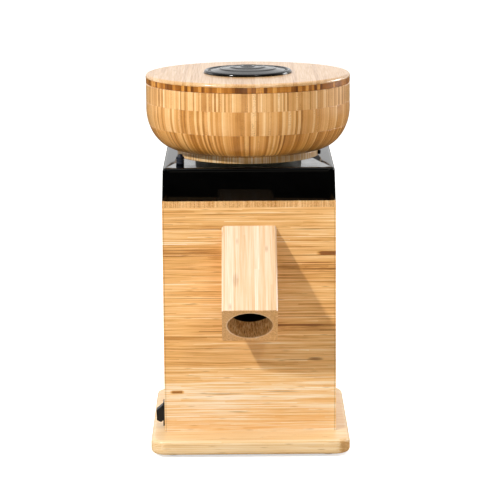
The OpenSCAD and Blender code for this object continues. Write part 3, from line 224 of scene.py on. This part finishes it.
def bored(made, start, way, radius, deep):
    """Colours a bored piece's cut end and its bore: raw fibre near the mouth, then black painted shade
    deeper in.
    start is the middle of the mouth and way points into the bore. deep is how far in the painted shade
    starts, in millimetres as the rest."""
    tree = made.node_tree
    shader = next(n for n in tree.nodes if n.type == "BSDF_PRINCIPLED")
    wood = shader.inputs["Base Color"].links[0].from_socket
    out = add(tree, "VectorMath", (millimetres(tree), start), operation="SUBTRACT")
    depth = add(tree, "VectorMath", (out, way), "Value", operation="DOT_PRODUCT")
    beside = add(tree, "VectorMath", (out, way), operation="CROSS_PRODUCT")
    beside = add(tree, "VectorMath", (beside,), "Value", operation="LENGTH")
    # the cut end shows warm end grain, with a pale eased rim round the bore
    specks = add(tree, "TexNoise", {"Vector": out, "Scale": 0.55, "Detail": 4.0, "Roughness": 0.7})
    end = add(tree, "ValToRGB", (add(tree, "MapRange", (specks, 0.3, 0.7)),),
              tones=["#a06a30", "#d4a062", "#ecc48c"])
    rim = add(tree, "MapRange", (beside, radius + 0.9, radius + 1.3, 0.25, 1.0))
    face = add(tree, "MapRange", (depth, 0.12, 0.35, 0.85, 0.0))
    face = add(tree, "Math", (face, rim), operation="MULTIPLY")
    # the bore is rougher, with streaks that run along it
    x, y, z = add(tree, "SeparateXYZ", (out,), None)
    streaks = add(tree, "VectorMath", (add(tree, "CombineXYZ", (x, depth, z)), (0.9, 1 / 22, 0.3)),
                  operation="MULTIPLY")
    streaks = add(tree, "TexNoise", {"Vector": streaks, "Scale": 1.0, "Detail": 3.0, "Roughness": 0.65})
    raw = add(tree, "ValToRGB", (add(tree, "MapRange", (streaks, 0.35, 0.65)),),
              tones=["#a8713a", "#e6ae6c", "#fbd49c"])
    # past deep the bore wall is painted near-black: painted shade where the light no longer reaches
    shaded_bore = painted(tree, raw, [(add(tree, "MapRange", (depth, deep - 0.3, deep + 0.3)), BORE_SHADE_TONE)])
    wall = add(tree, "MapRange", (beside, radius + 0.5, radius + 0.2))
    past_mouth = add(tree, "MapRange", (depth, 0.3, 1.2))
    inside = add(tree, "Math", (wall, past_mouth), operation="MULTIPLY")
    tree.links.new(painted(tree, wood, [(face, end), (inside, shaded_bore)]), shader.inputs["Base Color"])


def blocks(name, pitch, tones, spread=0.6, glue_line=0.35, pits=1.0, strips=2.3, turned=0.0):
    """A turned ring of bamboo blocks, laid out by the angle round the mill's axis.
    pitch is a block's mean width in millimetres, spread how unevenly wide the blocks are, strips the
    strips in a block, and turned how far the ring is turned on. glue_line and pits are strengths."""
    made, tree = material(name)
    x, y, z = add(tree, "SeparateXYZ", (millimetres(tree),), None)
    back = add(tree, "Math", (axis_y / MM, y), operation="SUBTRACT")
    angle = add(tree, "Math", (x, back), operation="ARCTAN2")
    u = add(tree, "Math", (angle, UNROLL_R, turned), operation="MULTIPLY_ADD")
    in_blocks = {"W": add(tree, "Math", (u, pitch), operation="DIVIDE"), "Randomness": spread}
    cell = add(tree, "TexVoronoi", in_blocks, "Color", voronoi_dimensions="1D")
    r1, r2, r3 = add(tree, "SeparateXYZ", (cell,), None)
    edge = add(tree, "TexVoronoi", in_blocks, voronoi_dimensions="1D", feature="DISTANCE_TO_EDGE")
    joint = add(tree, "MapRange", (edge, 0.0, 0.45 / pitch, 1.0, 0.0))
    # inside a block a few strips stand upright, with hairlines between them
    in_strips = {"W": add(tree, "Math", (u, pitch / strips), operation="DIVIDE"), "Randomness": 0.3}
    strip_id = add(tree, "TexVoronoi", in_strips, "Color", voronoi_dimensions="1D")
    strip_id = add(tree, "SeparateXYZ", (strip_id,))
    hair = add(tree, "TexVoronoi", in_strips, voronoi_dimensions="1D", feature="DISTANCE_TO_EDGE")
    hair = add(tree, "MapRange", (hair, 0.0, 0.5 * strips / pitch, 0.6, 0.0))
    glue = add(tree, "Math", (joint, hair), operation="MAXIMUM")
    # growth layers, the specks of cut fibres, and a slow drift of tone from block to block
    across = add(tree, "Math", (u, 0.55), operation="MULTIPLY")
    across = add(tree, "Math", (r2, 50.0, across), operation="MULTIPLY_ADD")
    upward = add(tree, "Math", (z, 60.0), operation="DIVIDE")
    layers = add(tree, "TexNoise", {"Vector": add(tree, "CombineXYZ", (across, upward, r3)),
                                    "Scale": 1.0, "Detail": 3.0, "Roughness": 0.6})
    wall = add(tree, "CombineXYZ", (u, z, r1))
    specks = add(tree, "VectorMath", (wall, (0.5, 1.3, 1.0)), operation="MULTIPLY")
    specks = add(tree, "TexNoise", {"Vector": specks, "Scale": 1.0, "Detail": 3.0, "Roughness": 0.65})
    wall = add(tree, "CombineXYZ", (u, z, 1.0))
    drift = add(tree, "VectorMath", (wall, (22.0, 18.0, 0.25)), operation="DIVIDE")
    drift = add(tree, "TexNoise", {"Vector": drift, "Scale": 1.0})
    drift = add(tree, "Math", (drift, 0.30, -0.15), operation="MULTIPLY_ADD")
    tone = build_up(tree, drift, ((r1, 0.74), (strip_id, 0.16),
                                  (add(tree, "MapRange", (layers, 0.3, 0.7)), 0.06),
                                  (add(tree, "MapRange", (specks, 0.3, 0.7)), 0.10)))
    # a few blocks show the cut ends of the vessels as rows of pits
    grid = add(tree, "VectorMath", (wall, (1.5, 1.7, 1.0)), operation="DIVIDE")
    holes = add(tree, "TexVoronoi", {"Vector": grid, "Scale": 1.0, "Randomness": 0.5},
                voronoi_dimensions="2D")
    holes = add(tree, "MapRange", (holes, 0.12, 0.34, 1.0, 0.0))
    clusters = add(tree, "CombineXYZ", (7.0, add(tree, "Math", (u, 6.0), operation="DIVIDE"),
                                        add(tree, "Math", (z, 7.0), operation="DIVIDE")))
    clusters = add(tree, "TexNoise", {"Vector": clusters, "Scale": 1.0})
    for limit in ((r3, 0.80, 0.86), (clusters, 0.42, 0.58)):
        holes = add(tree, "Math", (holes, add(tree, "MapRange", limit)), operation="MULTIPLY")
    dark_pits = add(tree, "Math", (holes, 0.6 * pits), operation="MULTIPLY")
    dark_glue = add(tree, "Math", (glue, glue_line), operation="MULTIPLY")
    colour = painted(tree, add(tree, "ValToRGB", (tone,), tones=tones),
                     [(dark_pits, PIT_TONE), (dark_glue, BLOCK_GLUE_TONE)])
    grooves = add(tree, "Math", (glue, 0.4), operation="MULTIPLY")
    hollows = add(tree, "Math", (holes, pits), operation="MULTIPLY")
    hollows = add(tree, "Math", (grooves, hollows), operation="MAXIMUM")
    height = add(tree, "Math", (layers, 0.2), operation="MULTIPLY")
    height = add(tree, "Math", (height, hollows), operation="SUBTRACT")
    surface(tree, {"Base Color": colour, "Roughness": add(tree, "MapRange", (specks, 0.2, 0.8, 0.40, 0.28)),
                   "Coat Weight": 0.45, "Coat Roughness": 0.16}, height, 0.14 * MM)
    return made


def moulded(name, tone, rough, metallic=0.0, grain=1.2, depth=0.04, spread=0.06, vary=0.08,
            stretch=(1.0, 1.0, 1.0), sheen=0.0, shine=0.5):
    """A moulded, cast or machined finish: a fine grain in the bump, the tone and the roughness.
    grain is the grain's size and depth its height, in millimetres. Real grain is often finer than half
    a millimetre, which wouldn't show, so none is drawn finer. spread and vary are how far the tone and
    the roughness wander, and stretch draws the grain out along the axes where it is small."""
    made, tree = material(name)
    mm = millimetres(tree)
    fine = add(tree, "VectorMath", (mm, stretch), operation="MULTIPLY")
    fine = add(tree, "TexNoise", {"Vector": fine, "Scale": 1.0 / grain, "Detail": 3.0, "Roughness": 0.6})
    wide = add(tree, "TexNoise", {"Vector": mm, "Scale": 0.03})
    both = add(tree, "Math", (fine, wide), operation="ADD")
    base = srgb(tone)
    darker = [c * (1 - 3 * spread) for c in base[:3]] + [1.0]
    lighter = [min(1.0, c * (1 + 2 * spread) + 0.01 * spread) for c in base[:3]] + [1.0]
    colour = painted(tree, darker, [(add(tree, "MapRange", (both, 0.7, 1.3)), lighter)])
    skin = add(tree, "MapRange", (both, 0.7, 1.3, rough - vary * rough, rough + vary * rough))
    surface(tree, {"Base Color": colour, "Metallic": metallic, "Roughness": skin, "Sheen Weight": sheen,
                   "Specular IOR Level": shine}, fine, depth * MM)
    return made


# Satin-lacquered bamboo with its strips on edge: fine level lines in warm tones, with darker dashes and
# eyes at the cane's nodes
BOARD = ["#8f5620", "#c4873f", "#e2a961", "#efba77", "#f6d09a", "#fbe6c8"]
front_wood = bamboo("satin bamboo, strips level across the front", Z, X, Y, BOARD,
                    marks=[(66, 92.5, 8, 1.9, 0.8), (50, 92, 22, 0.8, 0.5), (-30, 57, 26, 0.9, 0.6),
                           (32, 59, 20, 0.9, 0.6), (-12, 38, 12, 1.0, 0.5), (60, 226, 14, 1.2, 0.5),
                           (-60, 150, 10, 1.0, 0.4)],
                    bands=[(202, 8, -95, -26, 0.22), (182, 11, 26, 95, 0.22), (126, 5, 20, 95, 0.26),
                           (201.5, 1.9, 70, 95, 0.8), (59.2, 1.8, -80, -68, 0.8),
                           # the last band paints the lower part of the panel lighter: painted light
                           # standing in for the bounce off the white floor
                           (115, 2.5, -95, 60, 0.2), (30, 50, -200, 200, -0.28)],
                    seams=[-85.6, 85.6])
side_wood = bamboo("satin bamboo, strips level along the sides", Z, Y, X, BOARD)
# The base plate's strips lie flat, so its top shows wider bands than its edge
plate_wood = bamboo("satin bamboo, base plate", (0, 0.45, 1), X, (0, 1, -0.45),
                    ["#cf9c5c", "#e6bc80", "#efcd9a", "#f4d8ae", "#f9e2c4"], strip=4.2, coat=0.3,
                    bands=[(-34, 10, 90, 104, 0.5)])
# The top board's strips run front to back, so its front edge shows their cut ends
top_wood = bamboo("satin bamboo, top board", X, Y, Z, ["#8f561c", "#cc924e", "#ebba7b", "#fbd6a2"],
                  strip=3.4, line=1.0)
# The lid's disc and the spout are pale flat-laid bamboo, with broad strips and hairlines
pale_wood = bamboo("pale bamboo, lid disc", X, Y, Z, ["#a8743e", "#c9995f", "#d8ae7c", "#e4bf98"],
                   strip=19.0, stick=400.0, patch=0.8, rough=0.34, coat=0.5, line=0.5)
spout_wood = bamboo("pale bamboo, spout", X, DOWN_SPOUT, OVER_SPOUT,
                    ["#cfa271", "#e6c096", "#f1d5b8", "#fae6d2"], strip=13.0, stick=300.0, patch=0.6,
                    line=0.5, marks=[(-55, -14, 9, 3.5, 0.35)], bands=[(20, 9, -900, 900, 0.16)])
# The spout's end is cut square, and its bore is painted near-black from 19 mm in: painted shade deep inside
# the bore
SPOUT_HALF = 27.5
SPOUT_BORE_R = 22.5
BORE_SHADE_FROM = 19.0
low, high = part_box("spout")
mouth = Vector((0, low[1] / MM + SPOUT_HALF * SLOPE, low[2] / MM + SPOUT_HALF * SLOPE))
bored(spout_wood, mouth, (0, SLOPE, SLOPE), SPOUT_BORE_R, BORE_SHADE_FROM)
# The bowl is turned from three courses of blocks under a glossier lacquer, darker towards its foot: the
# bottom course's darker tones are partly the wood's own and partly painted shade where the bowl curves
# under
course_top_wood = blocks("turned bamboo blocks, top course", 9.5,
                         ["#9c6228", "#cf9552", "#e2ab6a", "#f0c083", "#fcdaac"],
                         strips=2.0, glue_line=0.6)
course_mid_wood = blocks("turned bamboo blocks, middle course", 14.0,
                         ["#965c22", "#cd9048", "#dda25e", "#ebb878", "#f8d09a"],
                         glue_line=0.55, turned=3.0)
course_low_wood = blocks("turned bamboo blocks, bottom course", 11.0,
                         ["#824c18", "#b87830", "#d49348", "#e4a95f", "#f4c482"],
                         glue_line=0.6, turned=8.0)
# The ring under the bowl is the same wood with few pits, its tones painted paler than the bowl's: painted
# light standing in for the light it catches from below and the left
ring_lit_wood = blocks("turned bamboo blocks, ring", 8.0, ["#d39a58", "#eab777", "#f7d09a", "#fee6c2"],
                   pits=0.4)
floor_wood = bamboo("turned bamboo, bowl floor", X, Y, Z, ["#b07638", "#c98f4d", "#dba563", "#e9ba7a"],
                    strip=9.0)
# The lid's band is caramelised bamboo in long blocks of light and dark
band_wood = blocks("caramel bamboo blocks, lid band", 19.0,
                   ["#4e2605", "#824a0e", "#a8661c", "#cb8734", "#e8aa58"],
                   spread=0.9, glue_line=0.6, strips=1.6)
# Polished black plastic and rubber: a mirror-like skin over deep black
cap_gloss = moulded("polished black plastic, cap", "#020202", 0.07, grain=9.0, depth=0.01, vary=0.3,
                    shine=0.07)
pad_gloss = moulded("glossy black rubber, lid pad", "#050505", 0.13, grain=6.0, depth=0.01, vary=0.2,
                    shine=0.32)
# Fine-textured black plastics and rubber, a little dusty in the light
nylon = moulded("black nylon, fine spark texture", "#141519", 0.46, grain=0.5)
post_nylon = moulded("blue-black nylon, index post", "#1d2230", 0.42, grain=0.5)
rubber = moulded("black rubber, matt", "#17171a", 0.8, grain=0.8, depth=0.06, sheen=0.2)
dark_steel = moulded("blackened steel", "#1c1c1e", 0.45, metallic=0.6, grain=0.9, depth=0.03)
# Metals: zinc with a spangle, bright machined steel, and sandy die-cast aluminium
zinc = moulded("zinc-plated steel", "#a9abad", 0.36, metallic=1.0, grain=1.5, depth=0.02, vary=0.25)
steel = moulded("machined steel", "#b4b5b8", 0.28, metallic=1.0, grain=0.5, depth=0.02,
                stretch=(1, 1, 0.15), vary=0.3)
cast = moulded("die-cast aluminium", "#9c9ea0", 0.55, metallic=0.85, grain=0.9, depth=0.08, spread=0.1)
# The motor's core shows the lines of its stacked sheets, and its coils a warm varnished copper
core = moulded("laminated core steel", "#5c5e62", 0.5, metallic=0.8, grain=0.6, depth=0.08,
               stretch=(0.02, 0.02, 1), spread=0.12)
copper = moulded("enamelled copper winding", "#a8562a", 0.34, metallic=0.75, grain=0.9, depth=0.1,
                 spread=0.14)
# Milky acetal and plain grey plastic, nearly smooth
acetal = moulded("white acetal", "#e4e0d4", 0.42, grain=1.0, depth=0.02, spread=0.02)
grey = moulded("grey plastic", "#a8abac", 0.5, grain=0.8, depth=0.03)
# Bonded corundum: pale, open and gritty
stone = moulded("bonded corundum stone", "#c9c3b6", 0.92, grain=0.7, depth=0.22, spread=0.12)
# Oiled beech: even, pinkish and almost without a figure
beech = bamboo("oiled beech", X, Z, Y, ["#c08f66", "#cf9f75", "#dcae85"], strip=14.0, stick=900.0,
               line=0.05, knots=0.0)

FINISHES = {
    "bamboo_board": side_wood, "bamboo_blocks": course_mid_wood, "bamboo_dark": band_wood,
    "bamboo_pale": pale_wood, "beech": beech, "black_gloss_abs": cap_gloss, "black_nylon": nylon,
    "black_rubber": rubber, "black_steel": dark_steel, "cast_aluminium": cast, "copper_coil": copper,
    "core_steel": core, "grey_plastic": grey, "mill_stone": stone, "steel": steel,
    "white_acetal": acetal, "zinc_steel": zinc,
}
OWN_FINISH = {
    "front_panel": front_wood, "rear_panel": front_wood, "base_plate": plate_wood,
    "top_board": top_wood, "hopper_ring": ring_lit_wood, "hopper_floor": floor_wood, "spout": spout_wood,
    "course_top": course_top_wood, "course_mid": course_mid_wood, "course_low": course_low_wood,
    "index_post": post_nylon, "lid_pad": pad_gloss,
}
slots = {part["node"]: part["material_slot"] for part in frame["record"]["subparts"]}


def finish_of(node):
    return OWN_FINISH.get(node) or FINISHES[slots[node]]


for name, shown in nodes.items():
    if not shown.material_slots:
        shown.data.materials.append(finish_of(name))
    for place in shown.material_slots:
        place.material = finish_of(name)


# --------------------------------------------------------------- pieces

def body_of(node):
    bodies = frame["record"]["behaviour"]["bodies"]
    return next(body for body, held in bodies.items() if node in held)


def finish_piece(name, shape, node):
    """Turns a bmesh into the piece that is shown in place of a CAD node."""
    bmesh.ops.recalc_face_normals(shape, faces=shape.faces)
    mesh = bpy.data.meshes.new(name)
    shape.to_mesh(mesh)
    shape.free()
    mesh.shade_smooth()
    mesh.set_sharp_from_angle(angle=math.radians(SHARP_FROM))
    mesh.materials.append(finish_of(node))
    made = bpy.data.objects.new(name, mesh)
    bpy.context.scene.collection.objects.link(made)
    weighted = made.modifiers.new("even normals", "WEIGHTED_NORMAL")
    weighted.keep_sharp = True
    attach(made, body_of(node))
    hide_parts(node)
    return made


def bevel(shape, edges, width, segments, clamp=False):
    bmesh.ops.bevel(shape, geom=edges, offset=width * MM, offset_type="OFFSET", segments=segments,
                    profile=0.5, affect="EDGES", clamp_overlap=clamp, material=-1)


def soften(node, width):
    """The CAD node's own form with its hard edges broken, as sanding or a mould's radius leaves them."""
    shape = bmesh.new()
    shape.from_mesh(nodes[node].data)
    bmesh.ops.remove_doubles(shape, verts=shape.verts, dist=2e-6)
    bmesh.ops.dissolve_limit(shape, angle_limit=math.radians(0.5), verts=shape.verts, edges=shape.edges)
    hard = [e for e in shape.edges if e.is_manifold and e.calc_face_angle(0) > math.radians(EASE_FROM)]
    bevel(shape, hard, width, 2, clamp=True)
    return finish_piece(node + "_eased", shape, node)


# How far each flat-sided piece's edges are eased, in millimetres
EASED = {"front_panel": 0.7, "rear_panel": 0.7, "left_panel": 0.7, "right_panel": 0.7,
         "top_board": 0.8, "spout": 0.6, "rocker": 0.4, "switch_body": 0.3, "index_post": 0.3}
for node, width in EASED.items():
    soften(node, width)


def turn(points):
    """A closed profile of (radius, height) in millimetres, turned about the mill's axis."""
    shape = bmesh.new()
    verts = [shape.verts.new((r * MM, axis_y, z * MM)) for r, z in points]
    edges = [shape.edges.new(pair) for pair in zip(verts, verts[1:] + verts[:1])
             if pair[0].co.x > 0 or pair[1].co.x > 0]
    bmesh.ops.spin(shape, geom=verts + edges, cent=(0, axis_y, 0), axis=(0, 0, 1), angle=math.tau,
                   steps=SPIN_STEPS, use_merge=True)
    bmesh.ops.remove_doubles(shape, verts=shape.verts, dist=1e-6)
    return shape


def arc(r, z, radius, start, end, steps=6):
    """Points on an arc in the profile's plane, from one angle in degrees to another."""
    return [(r + radius * math.cos(math.radians(a)), z + radius * math.sin(math.radians(a)))
            for a in (start + (end - start) * i / steps for i in range(steps + 1))]


def between(low, high, step):
    """Evenly spaced heights from low to high, about a step apart."""
    count = max(1, round((high - low) / step))
    return [low + (high - low) * i / count for i in range(count + 1)]


def reach(node):
    """A round node's radius and its bottom and top, in millimetres. The radius is the smaller side's,
    so that the piece stays inside the node's box."""
    low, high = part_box(node)
    return min(-low[0], high[0]) / MM, low[2] / MM, high[2] / MM


# The bowl's wall: a quarter turn outside and a shallower one inside, in millimetres above the bowl's foot
CURVE_H = 42.0
WALL = 8.5
foot_low, foot_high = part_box("hopper_floor")
FOOT_R = (foot_high[0] - foot_low[0]) / 2 / MM
BOWL_R = bowl_r / MM
BOWL_Z = foot_low[2] / MM
FLOOR = (foot_high[2] - foot_low[2]) / MM


def bulge(risen, high):
    """How far out a quarter turn has come, of 1, when it has risen so much of its height."""
    return math.sin(math.acos(min(1.0, max(0.0, 1 - risen / high))))


def outside(z):
    return FOOT_R + (BOWL_R - FOOT_R) * bulge(z, CURVE_H)


def inside(z):
    return FOOT_R + (BOWL_R - WALL - FOOT_R) * bulge(z - FLOOR, CURVE_H - FLOOR)


def course(node, rim=0.25):
    """One course of the bowl, with a hairline eased at its joints. rim is the easing of its top edge."""
    box_low, box_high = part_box(node)
    low, high = box_low[2] / MM - BOWL_Z, box_high[2] / MM - BOWL_Z
    ease = 0.25
    profile = [(outside(low) - ease if low > 0 else FOOT_R + 0.01, low)]
    profile += [(outside(z), z) for z in between(low + ease, high - rim, 1.2)]
    profile += [(outside(high) - rim, high), (inside(high) + rim, high)]
    profile += [(inside(z), z) for z in reversed(between(max(low, FLOOR) + ease, high - rim, 1.6))]
    profile += [(FOOT_R, FLOOR), (FOOT_R, low)] if low < FLOOR else [(inside(low) + ease, low)]
    return finish_piece(node + "_turned", turn([(r, BOWL_Z + z) for r, z in profile]), node)


def ring():
    """The flange under the bowl, with its edges rounded over."""
    low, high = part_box("hopper_ring")
    r, bottom, top = (high[0] - low[0]) / 2 / MM, low[2] / MM, high[2] / MM
    step_r, step_t, bore = 60.0, 0.6, 18.0
    low_ease, top_ease = 0.8, 1.3
    profile = [(bore, bottom), (step_r, bottom), (step_r, bottom + step_t)]
    profile += arc(r - low_ease, bottom + step_t + low_ease, low_ease, -90, 0, 4)
    profile += arc(r - top_ease, top - top_ease, top_ease, 0, 90) + [(bore, top)]
    return finish_piece("hopper_ring_turned", turn(profile), "hopper_ring")


JOINT_EASE = 0.15       # the hairline where the lid's disc meets its band


def lid_band():
    """The lid's dark band with its plug, its outer edges eased."""
    r, bottom, top = reach("lid_band")
    plug_h, plug_r, plug_in = 5.0, 95.7, 89.7
    plug_ease, lip_ease, edge = 0.5, 0.8, 0.5
    face = bottom + plug_h
    profile = [(0.0, face), (plug_in, face), (plug_in, bottom + plug_ease), (plug_in + plug_ease, bottom),
               (plug_r - lip_ease, bottom), (plug_r, bottom + lip_ease), (plug_r, face)]
    profile += arc(r - edge, face + edge, edge, -90, 0, 4)
    profile += [(r, top - JOINT_EASE), (r - JOINT_EASE, top), (0.0, top)]
    return finish_piece("lid_band_turned", turn(profile), "lid_band")


def lid_disc():
    """The lid's pale disc: a full round-over at its edge and a seat for the pad."""
    r, bottom, top = reach("lid_top")
    edge, seat_r, seat_h, seat_ease = 3.1, 45.0, 1.5, 0.4
    profile = [(0.0, bottom), (r - JOINT_EASE, bottom), (r, bottom + JOINT_EASE)]
    profile += arc(r - edge, top - edge, edge, 0, 90, 10)
    profile += [(seat_r + seat_ease, top), (seat_r, top - seat_ease), (seat_r, top - seat_h),
                (0.0, top - seat_h)]
    return finish_piece("lid_disc_turned", turn(profile), "lid_top")


def pad():
    """The lid's black pad: a rounded rim, a valley inside it, and raised rings over a low dome."""
    r, bottom, top = reach("lid_pad")
    rim_r, rim_z = 2.3, bottom + 2.4
    valley_r, valley_z, crown_z = r - 4.4, bottom + 2.9, top - 0.7
    ring_h, ring_pitch, first_ring, steps = 0.9, 11.0, 6.0, 90
    profile = [(0.0, bottom), (r, bottom), (r, rim_z)] + arc(r - rim_r, rim_z, rim_r, 0, 140, 14)
    for i in range(steps + 1):
        q = valley_r * (1 - i / steps)
        dome = valley_z + (crown_z - valley_z) * (1 - (q / valley_r) ** 2.2)
        ripple = max(0.0, math.cos(math.tau * (q - first_ring) / ring_pitch)) ** 3
        profile.append((q, min(top, dome + (ring_h * ripple if q < valley_r - 2 else 0.0))))
    return finish_piece("lid_pad_ringed", turn(profile), "lid_pad")


def cap():
    """The cap as one moulding: drafted sides, rounded corners and a rolled top edge, a hole and a wall."""
    low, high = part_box("top_cap")
    wide, deep, tall = (high[i] - low[i] for i in range(3))
    draft, corner, edge, wall, hole = 2.0, 7.0, 3.0, 3.0, 61.3
    shape = bmesh.new()
    bmesh.ops.create_cube(shape, size=1.0)
    for v in shape.verts:
        lean = draft * MM if v.co.z > 0 else 0.0
        v.co = (v.co.x * (wide - lean), v.co.y * (deep - lean) + axis_y,
                (low[2] + high[2]) / 2 + v.co.z * tall)
    upright = [e for e in shape.edges if abs(e.verts[0].co.z - e.verts[1].co.z) > tall / 2]
    bevel(shape, upright, corner, 8)
    rim = [e for e in shape.edges if all(v.co.z > high[2] - 1e-6 for v in e.verts)]
    bevel(shape, rim, edge, 6)
    flat = [f for f in shape.faces if abs(f.normal.z) > 0.9999]
    bmesh.ops.delete(shape, geom=flat, context="FACES_ONLY")
    outer = [e for e in shape.edges if e.is_boundary and all(v.co.z > high[2] - 1e-6 for v in e.verts)]
    made = bmesh.ops.create_circle(shape, segments=96, radius=hole * MM,
                                   matrix=Matrix.Translation((0, axis_y, high[2])))
    inner = list({e for v in made["verts"] for e in v.link_edges})
    bmesh.ops.triangle_fill(shape, edges=outer + inner, use_beauty=True)
    piece = finish_piece("top_cap_moulded", shape, "top_cap")
    shell = piece.modifiers.new("wall", "SOLIDIFY")
    shell.thickness = wall * MM
    shell.offset = -1.0
    return piece


course("course_low")
course("course_mid")
course("course_top", rim=0.7)
ring()
lid_band()
lid_disc()
pad()
cap()

# ---------------------------------------------------------------- stage

WHITE = (1, 1, 1, 1)
FLOOR_R = 14.0

floor_mesh = bpy.data.meshes.new("studio_floor")
shape = bmesh.new()
bmesh.ops.create_circle(shape, cap_ends=True, segments=64, radius=FLOOR_R)
shape.to_mesh(floor_mesh)
shape.free()
studio_floor = bpy.data.objects.new("studio_floor", floor_mesh)
bpy.context.scene.collection.objects.link(studio_floor)
# White paper: the lens sees it lit, while gloss and bounced light find the dim floor of a large studio
paper, tree = material("white studio paper")
path = add(tree, "LightPath", out=None)
seen = path["Is Camera Ray"]
sheet = painted(tree, (0.72, 0.70, 0.66, 1.0), [(path["Is Glossy Ray"], (0.02, 0.02, 0.02, 1.0)),
                                                (seen, (0.93, 0.93, 0.93, 1.0))])
surface(tree, {"Base Color": sheet, "Roughness": 1.0, "Specular IOR Level": 0.0, "Emission Color": WHITE,
               "Emission Strength": add(tree, "Math", (seen, 0.62), operation="MULTIPLY")})
floor_mesh.materials.append(paper)

# The studio's walls: the lens sees white, gloss finds bright cards behind and above, and the rest of the
# light comes softly, and more of it from behind
world = bpy.data.worlds.new("studio")
bpy.context.scene.world = world
world.use_nodes = True
tree = world.node_tree
tree.nodes.clear()
path = add(tree, "LightPath", out=None)
side, back, rise = add(tree, "SeparateXYZ", (add(tree, "TexCoord", out="Generated"),), None)
cards = add(tree, "Math", (add(tree, "MapRange", (back, -0.35, 0.4, 0.0, 1.1)),
                           add(tree, "MapRange", (rise, 0.7, 0.9, 0.0, 2.0))), operation="ADD")
gloss = add(tree, "Background", (WHITE, cards))
around = add(tree, "MapRange", (back, -0.7, 0.5, 0.13, 0.85))
soft = add(tree, "Background", ((1, 0.96, 0.88, 1), around))
clear = add(tree, "Background", (WHITE, 1.0))
shown = add(tree, "MixShader", (path["Is Glossy Ray"], soft, gloss))
shown = add(tree, "MixShader", (path["Is Camera Ray"], shown, clear))
add(tree, "OutputWorld", (shown,), None)

aim_at = Vector((0, axis_y, 0.17))


def soft_box(name, place, size, power, tint=(1.0, 1.0, 1.0)):
    """A round soft light turned to the mill: its place and size in metres and its power in watts."""
    light = bpy.data.lights.new(name, "AREA")
    light.color = tint
    light.shape = "DISK"
    light.size = size
    light.energy = power
    holder = bpy.data.objects.new(name, light)
    holder.location = place
    holder.rotation_euler = (aim_at - Vector(place)).to_track_quat("-Z", "Y").to_euler()
    bpy.context.scene.collection.objects.link(holder)


soft_box("key_upper_left", (-1.32, -1.22, 1.42), 0.14, 36.0)
soft_box("fill_right", (0.80, -1.60, 1.60), 0.34, 9.0)
soft_box("overhead", (0.0, -0.4, 2.3), 1.4, 5.0)
soft_box("front_low", (0.2, -2.5, 0.12), 1.0, 3.5, (1.0, 0.94, 0.8))
soft_box("rim_right", (2.2, 1.1, 0.7), 0.9, 26.0)
soft_box("rim_left", (-2.2, 1.1, 0.7), 0.9, 3.5)

# --------------------------------------------------------------- camera

CAMERA_AT = (-0.007, -2.4, 0.649)
LENS_MM = 171.1
SENSOR_MM = 36.0
pitch, yaw, roll = math.radians(10.74), math.radians(-0.19), math.radians(-0.39)

lens = bpy.data.cameras.new("camera")
lens.lens = LENS_MM
lens.sensor_width = SENSOR_MM
camera = bpy.data.objects.new("camera", lens)
bpy.context.scene.collection.objects.link(camera)
bpy.context.scene.camera = camera
swung = Matrix.Rotation(yaw, 3, "Z")
ahead = swung @ Vector((0, math.cos(pitch), -math.sin(pitch)))
right = swung @ Vector((1, 0, 0))
up = right.cross(ahead)
across = math.cos(roll) * right + math.sin(roll) * up
upward = -math.sin(roll) * right + math.cos(roll) * up
facing = Matrix((across, upward, -ahead)).transposed().to_4x4()
camera.matrix_world = Matrix.Translation(CAMERA_AT) @ facing

view = bpy.context.scene.view_settings
view.view_transform = "Standard"
